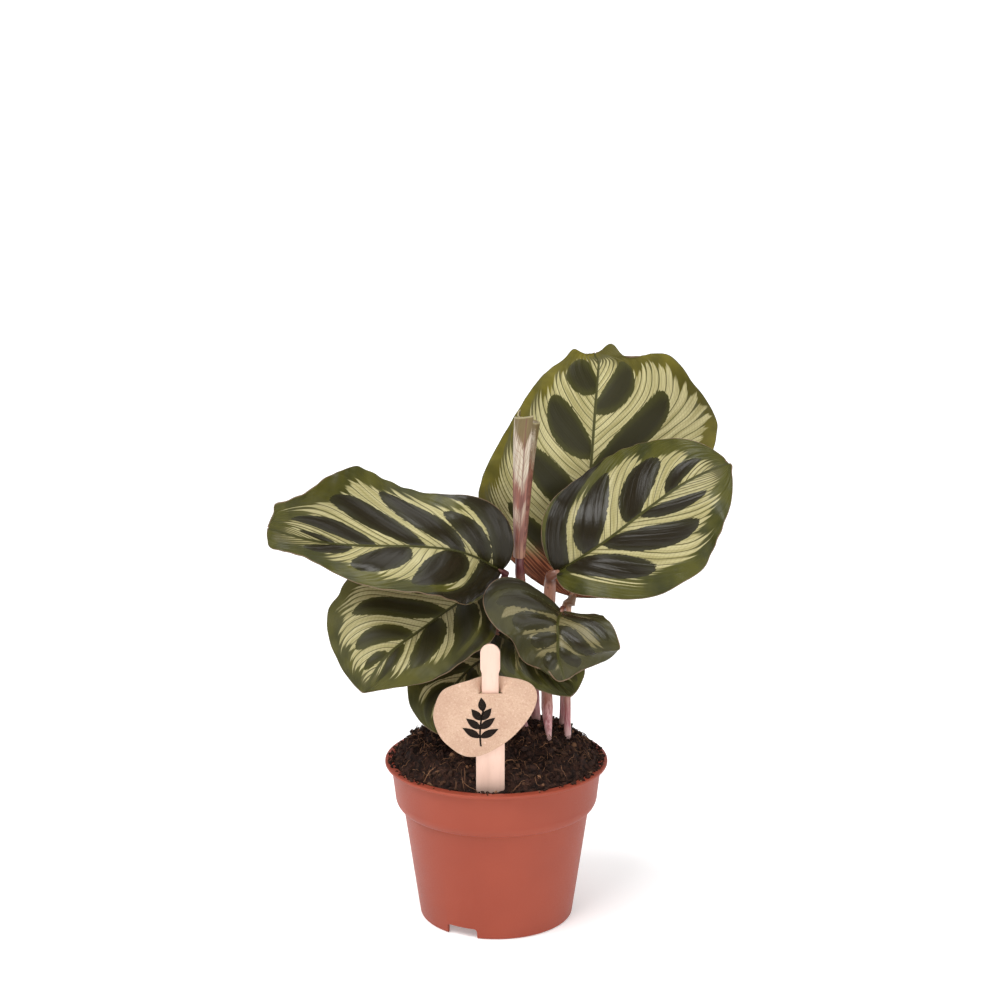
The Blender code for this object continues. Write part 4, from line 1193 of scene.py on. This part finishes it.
def make_stalk(name, leaf, axis, share):
    """A stalk that ends at a share of the way along its blade's axis."""
    places, tangents, _ = frame_along(axis, leaf["face"], np.array([share]))
    line = stalk_line(leaf["stalk"], places[0], tangents[0])
    height = line[:, 2]
    length = run_along(line)
    left = length[-1] - length
    rise = np.clip((height - TAPER_FOOT) / (TAPER_TOP - TAPER_FOOT), 0, 1)
    foot = leaf["stalk_foot"]
    radius = leaf["stalk_radius"] * MM * (foot + (1 - foot) * rise)
    joint = smooth_step(left, JOINT_LENGTH, JOINT_LENGTH * 0.7) * smooth_step(left, 0, JOINT_FADE)
    rng = np.random.default_rng(sum(map(ord, name)))
    wobble = STALK_WOBBLE * lump(length, length * 0.3, waves(rng, STALK_WAVES, STALK_WAVE_PITCH))
    end = END_RADIUS + (1 - END_RADIUS) * smooth_step(left, *END_REACH)
    radius = radius * (1 - JOINT_PINCH * joint + wobble) * end
    channel = 1 - STALK_CHANNEL * np.exp(-(((circle(STALK_SIDES) - math.pi) / 0.5) ** 2))
    points = tube(line, radius[:, None] * channel, (0, 1, 0), STALK_SIDES)
    mesh = mesh_of(name + "_stalk_tube", points.reshape(-1, 3), tube_faces(len(line), STALK_SIDES))
    fields = {
        "joint": joint, "foot": smooth_step(height, *FLUSH_REACH), "root": smooth_step(height, *ROOT_REACH),
        "tone": np.full(len(line), STALK_TONES[name]),
    }
    for key, values in fields.items():
        set_attribute(mesh, key, np.repeat(values, STALK_SIDES))
    weld(mesh)
    finish_object(name + "_stalk_tube", mesh, [STALK_MATERIAL], [name + "_stalk"])


# Soil


def mound_height(x, y, lumps, grit):
    """The rough top of the soil, which keeps the solid mound's shape and adds finer lumps."""
    share = np.minimum(np.hypot(x, y) / SOIL_RADIUS, 1)
    plain = POT_HEIGHT + MOUND_EDGE + (MOUND_RISE - MOUND_EDGE) * (1 - share**2)
    heap = SIDE_HEAP * share**2 * np.minimum(1, 1 + y / SOIL_RADIUS)
    across = (x - STICK_DIP_PLACE[0]) / STICK_DIP_SIZE[0]
    along = (y - STICK_DIP_PLACE[1]) / STICK_DIP_SIZE[1]
    dip = STICK_DIP * np.exp(-(across**2) - along**2)
    rough = sum(height * MM * lump(x, y, crossing) for height, crossing in grit)
    calm = 1 - np.exp(-((across / 1.2) ** 2) - along**2)
    rise = plain + heap + LUMP_HEIGHT * lump(x, y, lumps) * (1 - LUMP_CALM * share) - POT_HEIGHT
    return POT_HEIGHT + rise * smooth_step(share, *EDGE_SLOPE) - dip + rough * calm


def wall_radius(height):
    return FOOT_RADIUS + (SHOULDER_RADIUS - FOOT_RADIUS) * height / SHOULDER_Z


def make_soil():
    lumps = waves(np.random.default_rng(LUMP_SEED), LUMP_WAVES, LUMP_PITCH)
    rng = np.random.default_rng(SEED)
    grit = [(height, waves(rng, count, pitch)) for height, count, pitch in GRIT]
    angle = circle(SOIL_SEGMENTS)
    radius = SOIL_EDGE * np.sqrt(np.linspace(SOIL_CENTRE, 1, SOIL_RINGS))[:, None]
    x = radius * np.cos(angle)
    y = radius * np.sin(angle)
    top = np.stack([x, y, mound_height(x, y, lumps, grit)], axis=-1)
    floor = CHANNEL_Z + POT_WALL
    inside = POT_WALL + SOIL_WALL_GAP
    down = (
        (BAND_TOP_RADIUS - inside, POT_HEIGHT - SOIL_DROP), (BAND_FOOT_RADIUS - inside, BAND_FOOT_Z),
        (SHOULDER_RADIUS - inside, SHOULDER_Z), (wall_radius(floor) - inside, floor + SOIL_FLOOR_GAP),
        (SOIL_WALL_GAP, floor + SOIL_FLOOR_GAP),
    )
    points = np.concatenate([top.reshape(-1, 3), lathed(down, SOIL_SEGMENTS)])
    mesh = mesh_of("soil_mound", points, tube_faces(SOIL_RINGS + len(down), SOIL_SEGMENTS))
    set_attribute(mesh, "shade", np.zeros(len(mesh.vertices)))
    weld(mesh)
    finish_object("soil_mound", mesh, [SOIL_MATERIAL], ["potting_soil"])
    make_crumbs(rng, lumps, grit)
    make_fibres(rng, lumps, grit)


def scattered(rng, count, edge):
    """Places spread evenly over the mound, a little denser at its rim, and none close round the stick."""
    radius = edge * np.sqrt(rng.uniform(0, 1, count)) ** 0.9
    angle = rng.uniform(0, math.tau, count)
    x, y = radius * np.cos(angle), radius * np.sin(angle)
    free = (np.abs(x - STICK_AT_RIM.x) > STICK_WIDTH / 2 + 1 * MM) | (y > STICK_AT_RIM.y + 2 * MM)
    return x[free], y[free]


def make_crumbs(rng, lumps, grit):
    """Rough grains all over the mound, and more at the left and right on the pot's lip."""
    bm = bmesh.new()
    bmesh.ops.create_icosphere(bm, subdivisions=1, radius=1)
    corners = np.array([v.co for v in bm.verts])
    triangles = [[v.index for v in f.verts] for f in bm.faces]
    bm.free()
    points, faces, shades = [], [], []
    inner = SOIL_EDGE - CRUMB_MARGIN
    xs, ys = scattered(rng, CRUMBS, inner)
    beside = rng.normal(0, 0.6, RIM_CRUMBS) + np.where(rng.uniform(size=RIM_CRUMBS) < 0.55, 0, math.pi)
    reach = inner + (LIP_RADIUS - SOIL_EDGE - CRUMB_MARGIN) * rng.uniform(0, 1, RIM_CRUMBS) ** 2
    xs = np.concatenate([xs, reach * np.cos(beside)])
    ys = np.concatenate([ys, reach * np.sin(beside)])
    for i, (x, y) in enumerate(zip(xs, ys)):
        on_lip = i >= len(xs) - RIM_CRUMBS
        size = min(CRUMB_LEAST + abs(rng.normal(0, 0.3 if on_lip else 0.55)), CRUMB_MOST) * MM
        turn = Matrix.Rotation(rng.uniform(0, math.tau), 3, Vector(rng.normal(size=3)).normalized())
        stretch = np.array([rng.uniform(0.6, 1.5), rng.uniform(0.5, 1.1), rng.uniform(0.4, 0.9)])
        rough = corners * stretch * rng.uniform(0.75, 1.15, (len(corners), 1))
        z = POT_HEIGHT + size * 0.4
        if not on_lip:
            z = mound_height(np.array([x]), np.array([y]), lumps, grit)[0] + size * 0.35
        faces += [[i * len(corners) + k for k in f] for f in triangles]
        points.append(rough @ np.array(turn).T * size + (x, y, z))
        shade = 0.35 * rng.uniform() ** 4 if rng.uniform() < 0.97 else rng.uniform(0.5, 1)
        shades.append(np.full(len(corners), shade))
    mesh = mesh_of("soil_crumbs", np.concatenate(points), faces)
    set_attribute(mesh, "shade", np.concatenate(shades))
    finish_object("soil_crumbs", mesh, [SOIL_MATERIAL], (), 40)


def make_fibres(rng, lumps, grit):
    """Thin bent threads that lie on the mound."""
    points, faces, shades = [], [], []
    share = np.linspace(-0.5, 0.5, FIBRE_STEPS)
    xs, ys = scattered(rng, FIBRES, SOIL_EDGE - FIBRE_MARGIN)
    for i, (x, y) in enumerate(zip(xs, ys)):
        length = rng.uniform(2, 9) * MM
        heading = rng.uniform(0, math.tau)
        direction = heading + rng.normal(0, 1.3) * share
        radius = rng.uniform(0.07, 0.2) * MM
        px = x + np.cumsum(np.cos(direction)) * length / FIBRE_STEPS - np.cos(heading) * length / 2
        py = y + np.cumsum(np.sin(direction)) * length / FIBRE_STEPS - np.sin(heading) * length / 2
        hold = np.minimum(1, (SOIL_EDGE - 0.3 * MM) / np.hypot(px, py))
        px, py = px * hold, py * hold
        arch = rng.uniform(0.2, 1.6) * MM * (1 - (2 * share) ** 2)
        tilt = rng.uniform(-0.3, 1.2) * MM * (share + 0.5)
        line = np.stack([px, py, mound_height(px, py, lumps, grit) + arch + tilt + radius * 0.5], axis=-1)
        thin = radius * (1 - 0.6 * np.abs(2 * share))
        points.append(tube(line, thin[:, None], (0, 0, 1), FIBRE_SIDES).reshape(-1, 3))
        faces += tube_faces(FIBRE_STEPS, FIBRE_SIDES, i * FIBRE_SIDES * FIBRE_STEPS)
        shades.append(np.full(FIBRE_SIDES * FIBRE_STEPS, rng.uniform() ** 2.2))
    mesh = mesh_of("soil_fibres", np.concatenate(points), faces)
    set_attribute(mesh, "shade", np.concatenate(shades))
    weld(mesh, 1e-9)
    finish_object("soil_fibres", mesh, [SOIL_MATERIAL])


# Pot


def rounded(profile, radius, steps=4):
    """A profile whose corners, apart from its two ends, are rounded."""
    made = [profile[0]]
    for before, corner, after in zip(profile, profile[1:], profile[2:]):
        b, c, a = (np.array(p, float) for p in (before, corner, after))
        reach = min(radius, np.linalg.norm(b - c) * 0.45, np.linalg.norm(a - c) * 0.45)
        first = c + unit(b - c) * reach
        last = c + unit(a - c) * reach
        for t in np.linspace(0, 1, steps + 1):
            made.append(tuple((1 - t) ** 2 * first + 2 * t * (1 - t) * c + t * t * last))
    return made + [profile[-1]]


def pot_profile():
    """Radii and heights of the pot's wall, from the middle of its floor up inside and down outside."""
    floor = CHANNEL_Z + POT_WALL
    width = BAND_FOOT_RADIUS - SHOULDER_RADIUS
    drop = BAND_FOOT_Z - SHOULDER_Z
    arc = []
    for i in range(1, SHOULDER_STEPS):
        turn = math.pi / 2 * i / SHOULDER_STEPS
        arc.append((SHOULDER_RADIUS + width * math.cos(turn), BAND_FOOT_Z - drop * math.sin(turn)))
    ring = FOOT_RADIUS - FOOT_RING_WIDTH
    return [
        (0, POT_WALL), (PAD_RADIUS - POT_WALL, POT_WALL), (PAD_RADIUS, floor),
        (wall_radius(floor) - POT_WALL, floor), (SHOULDER_RADIUS - POT_WALL, SHOULDER_Z),
        (BAND_FOOT_RADIUS - POT_WALL, BAND_FOOT_Z), (BAND_TOP_RADIUS - POT_WALL, POT_HEIGHT),
        (LIP_RADIUS, POT_HEIGHT), (LIP_RADIUS, POT_HEIGHT - LIP_THICKNESS),
        (BAND_TOP_RADIUS, POT_HEIGHT - LIP_THICKNESS), (BAND_FOOT_RADIUS, BAND_FOOT_Z), *arc,
        (SHOULDER_RADIUS, SHOULDER_Z), (FOOT_RADIUS, 0), (ring, 0), (ring, CHANNEL_Z),
        (PAD_RADIUS + POT_WALL, CHANNEL_Z), (PAD_RADIUS, 0), (0, 0),
    ]


def pot_openings():
    """Notches in the foot, rounded above, and holes in the floor, as one cutter."""
    bm = bmesh.new()
    for angle in NOTCH_ANGLES:
        turn = Matrix.Rotation(math.radians(angle), 4, "Z")
        size = Matrix.Diagonal((NOTCH_WIDTH, NOTCH_DEPTH, 2 * NOTCH_HEIGHT, 1))
        bmesh.ops.create_cube(bm, size=1, matrix=turn @ Matrix.Translation((0, -FOOT_RADIUS, 0)) @ size)
    ends = [(e, e.verts[0].co, e.verts[1].co) for e in bm.edges]
    top = [(e, a, b) for e, a, b in ends if abs(a.z - b.z) < 1e-6 and a.z > 0]
    radial = [e for e, a, b in top if abs((a - b).length - NOTCH_DEPTH) < 0.1 * MM]
    bmesh.ops.bevel(bm, geom=radial, offset=NOTCH_ROUNDING, segments=4, affect="EDGES", profile=0.5)
    for i in range(DRAIN_HOLES):
        turn = math.tau * (i + 0.25) / DRAIN_HOLES
        place = Vector((math.cos(turn) * DRAIN_CIRCLE, math.sin(turn) * DRAIN_CIRCLE, CHANNEL_Z))
        bmesh.ops.create_cone(
            bm, cap_ends=True, segments=32, radius1=DRAIN_RADIUS, radius2=DRAIN_RADIUS,
            depth=DRAIN_DEPTH, matrix=Matrix.Translation(place),
        )
    return linked("pot_openings", mesh_from(bm, "pot_openings"))


def make_pot():
    profile = rounded(pot_profile(), POT_ROUNDING)
    inner = profile[1:-1]
    points = [(0, 0, profile[0][1]), *lathed(inner, POT_SEGMENTS), (0, 0, profile[-1][1])]
    last = len(points) - 1
    faces = grid_faces(len(inner), POT_SEGMENTS, 1, closed=True)
    for j in range(POT_SEGMENTS):
        k = (j + 1) % POT_SEGMENTS
        faces.append((0, 1 + k, 1 + j))
        faces.append((last, last - POT_SEGMENTS + j, last - POT_SEGMENTS + k))
    mesh = mesh_of("pot_shell", points, faces)
    weld(mesh)
    shell = linked("pot_shell", mesh)
    openings = pot_openings()
    cut(shell, openings)
    made = evaluated_copy(shell, "pot_shell")
    bpy.data.objects.remove(openings)
    finish_object("pot_shell", made, [POT_MATERIAL], ["pot"], 40)


# Label


def label_frame(across=0, front=0, up=0):
    """World placing of a point given across the stick, in front of it and along it from the rim."""
    lean = Matrix.Rotation(LABEL_LEAN, 4, "X")
    return Matrix.Translation(STICK_AT_RIM) @ lean @ Matrix.Translation((across, -front, up))


def stick_outline():
    """Across and up from the rim: a broad foot, a narrow neck and a round head."""
    half, neck, head = STICK_WIDTH / 2, NECK_WIDTH / 2, HEAD_WIDTH / 2
    right = [
        (half, -STICK_BELOW_RIM), (half, NECK_FOOT - NECK_SLOPE), (neck, NECK_FOOT),
        (neck, STICK_ABOVE_RIM - HEAD_LENGTH - HEAD_SLOPE), (head, STICK_ABOVE_RIM - HEAD_LENGTH),
    ]
    for i in range(HEAD_STEPS):
        turn = math.pi / 2 * i / HEAD_STEPS
        right.append((head * math.cos(turn), STICK_ABOVE_RIM - head * (1 - math.sin(turn))))
    return right + [(0, STICK_ABOVE_RIM)] + [(-x, y) for x, y in reversed(right)]


def upright_prism(name, outline, depth, bevel=0.0):
    """An outline across and up, made half of depth to each side, with its long edges rounded."""
    bm = bmesh.new()
    front = [bm.verts.new((x, -depth / 2, y)) for x, y in outline]
    rear = [bm.verts.new((x, depth / 2, y)) for x, y in outline]
    bm.faces.new(front)
    bm.faces.new(rear[::-1])
    for i in range(len(outline)):
        j = (i + 1) % len(outline)
        bm.faces.new((front[j], front[i], rear[i], rear[j]))
    bmesh.ops.recalc_face_normals(bm, faces=bm.faces)
    if bevel:
        rims = [e for e in bm.edges if abs(e.verts[0].co.y - e.verts[1].co.y) < depth / 2]
        bmesh.ops.bevel(bm, geom=rims, offset=bevel, segments=3, affect="EDGES", profile=0.5)
    return mesh_from(bm, name)


def make_stick():
    mesh = upright_prism("label_stick_wood", stick_outline(), STICK_THICKNESS, STICK_ROUNDING)
    mesh.transform(label_frame())
    finish_object("label_stick_wood", mesh, [WOOD_MATERIAL], ["label_stick"], 40)


def smooth_outline(points, steps):
    """A closed outline with steps points for each stretch between the given ones."""
    ring = [Vector(p) * MM for p in points]
    count = len(ring)
    outline = []
    for i in range(count):
        a, b, c, d = (ring[(i + k) % count] for k in (-1, 0, 1, 2))
        for j in range(steps):
            t = j / steps
            place = 2 * b + (c - a) * t + (2 * a - 5 * b + 4 * c - d) * t**2 + (3 * b - a - 3 * c + d) * t**3
            outline.append(tuple(place / 2))
    return outline


def card_bow(x, up):
    """How far back the card lies: the strip above the slit passes behind the stick's neck."""
    spread = BOW_SPREAD * smooth_step(up, SLIT_UP, SLIT_UP + BOW_RISE)
    left = smooth_step(x, -SLIT_LEFT - spread, -BOW_HALF)
    right = smooth_step(x, SLIT_RIGHT + spread, BOW_HALF)
    return BOW_BACK * left * right * (up > SLIT_UP)


def card_sheet():
    """A fine sheet with its slit, where the strip above it bows back."""
    across = np.arange(-CARD_HALF_WIDTH, CARD_HALF_WIDTH, CARD_STEP)
    low = np.arange(-CARD_HALF_HEIGHT, SLIT_UP - CARD_STEP / 2, CARD_STEP)
    high = np.arange(SLIT_UP + SLIT_GAP, CARD_HALF_HEIGHT, CARD_STEP)
    bm = bmesh.new()
    rows = []
    for up in (*low, SLIT_UP, *high):
        rows.append([bm.verts.new((x, card_bow(x + CARD_CENTRE[0], up), up)) for x in across])
    slit = len(low)
    for i in range(len(rows) - 1):
        for j in range(len(across) - 1):
            middle = (across[j] + across[j + 1]) / 2 + CARD_CENTRE[0]
            if i == slit and -SLIT_LEFT < middle < SLIT_RIGHT:
                continue
            bm.faces.new((rows[i][j], rows[i][j + 1], rows[i + 1][j + 1], rows[i + 1][j]))
    return mesh_from(bm, "label_card_kraft")


def make_card():
    """The sheet thickened, cut to the card's outline and set in front of the stick."""
    card = linked("label_card_kraft", card_sheet())
    thicken(card, CARD_THICKNESS)
    outline = smooth_outline(CARD_OUTLINE, OUTLINE_STEPS)
    limit = linked("card_outline", upright_prism("card_outline", outline, CARD_CUT_DEPTH))
    cut(card, limit, "INTERSECT")
    made = evaluated_copy(card, "label_card_kraft")
    bpy.data.objects.remove(limit)
    for vertex in made.vertices:
        vertex.co.z -= BOW_DROP * max(vertex.co.y, 0)
    made.transform(card_place())
    finish_object("label_card_kraft", made, [KRAFT_MATERIAL], ["label_card"], 40)


def card_place():
    """World placing of the card's own middle, in front of the stick."""
    front = STICK_THICKNESS / 2 + CARD_GAP + CARD_THICKNESS / 2
    return label_frame(CARD_CENTRE[0], front, CARD_CENTRE[1])


def sprig_leaf(length, width, steps=10):
    """A pointed leaf's outline from its foot at the origin to its tip up."""
    right = []
    for i in range(steps + 1):
        share = i / steps
        right.append((width / 2 * math.sin(math.pi * share**0.8), length * share))
    return right + [(-x, y) for x, y in reversed(right[1:-1])]


def make_print():
    """A plain sprig printed on the card: a curved stem with paired leaves."""
    half = STEM_HALF_WIDTH
    shapes = [[(x - half, y) for x, y in STEM] + [(x + half, y) for x, y in reversed(STEM)]]
    for i, (degrees, length) in enumerate(SPRIG_LEAVES):
        x, y = STEM[min(3 + 3 * (i // 2), len(STEM) - 1)]
        turn = math.radians(degrees)
        c, s = math.cos(turn), math.sin(turn)
        leaf = sprig_leaf(length, SPRIG_LEAF_WIDTH)
        shapes.append([(x + u * c + v * s, y - u * s + v * c) for u, v in leaf])
    bm = bmesh.new()
    for shape in shapes:
        bm.from_mesh(upright_prism("print", [(x * MM, y * MM) for x, y in shape], INK_DEPTH))
    bmesh.ops.recalc_face_normals(bm, faces=bm.faces)
    mesh = mesh_from(bm, "card_sprig_print")
    across, up = SPRIG_SHIFT
    mesh.transform(card_place() @ Matrix.Translation((across, -CARD_THICKNESS / 2, up)))
    finish_object("card_sprig_print", mesh, [INK_MATERIAL])


# Studio


def make_floor():
    """A round paper floor that sweeps up all round, so that no horizon shows."""
    flat = np.linspace(FLOOR_CENTRE, FLOOR_RADIUS, FLOOR_RINGS)
    sweep = np.linspace(SWEEP_START, math.pi / 2, SWEEP_RINGS)
    radii = np.concatenate([flat, FLOOR_RADIUS + SWEEP_RADIUS * np.sin(sweep)])
    heights = np.concatenate([np.zeros(FLOOR_RINGS), SWEEP_RISE * (1 - np.cos(sweep))])
    faces = grid_faces(len(radii), FLOOR_SEGMENTS, closed=True)
    faces.append(tuple(range(FLOOR_SEGMENTS))[::-1])
    mesh = mesh_of("studio_floor", lathed(zip(radii, heights), FLOOR_SEGMENTS), faces)
    mesh.materials.append(floor_paint())
    mesh.shade_smooth()
    floor = linked("studio_floor", mesh)
    floor.location.z = -FLOOR_DROP


def softbox(name, place, aim, side, power):
    light = bpy.data.lights.new(name, "AREA")
    light.size = side
    light.energy = power
    lamp = linked(name, light)
    lamp.location = place
    lamp.rotation_euler = (Vector(aim) - Vector(place)).to_track_quat("-Z", "Y").to_euler()


def make_studio():
    make_floor()
    for values in SOFTBOXES:
        softbox(*values)
    world = bpy.data.worlds.new("studio")
    world.use_nodes = True
    background = world.node_tree.nodes["Background"]
    background.inputs["Color"].default_value = (1, 1, 1, 1)
    background.inputs["Strength"].default_value = WORLD_STRENGTH
    camera = linked("camera", bpy.data.cameras.new("camera"))
    camera.data.lens = LENS
    camera.data.sensor_width = SENSOR_WIDTH
    camera.location = CAMERA_PLACE
    camera.rotation_euler = (math.radians(90 - CAMERA_PITCH), 0, 0)
    scene = bpy.context.scene
    scene.world = world
    scene.view_settings.view_transform = "Standard"
    scene.camera = camera


LEAF_MATERIALS = [leaf_upper(), leaf_under()]
FURLED_MATERIAL = furled_paint()
STALK_MATERIAL = stalk_paint()
SOIL_MATERIAL = soil_paint()
POT_MATERIAL = pot_paint()
WOOD_MATERIAL = wood_paint()
KRAFT_MATERIAL = kraft_paint()
INK_MATERIAL = ink_paint()
for leaf_number, (leaf_name, leaf_shape) in enumerate(LEAVES.items()):
    make_blade(leaf_number, leaf_name, leaf_shape)
    make_stalk(leaf_name, leaf_shape, leaf_shape["midrib"], midrib_share(CAD_START))
make_furled()
make_stalk("furled_leaf", FURLED, FURLED["axis"], 0.0)
make_soil()
make_pot()
make_stick()
make_card()
make_print()
make_studio()
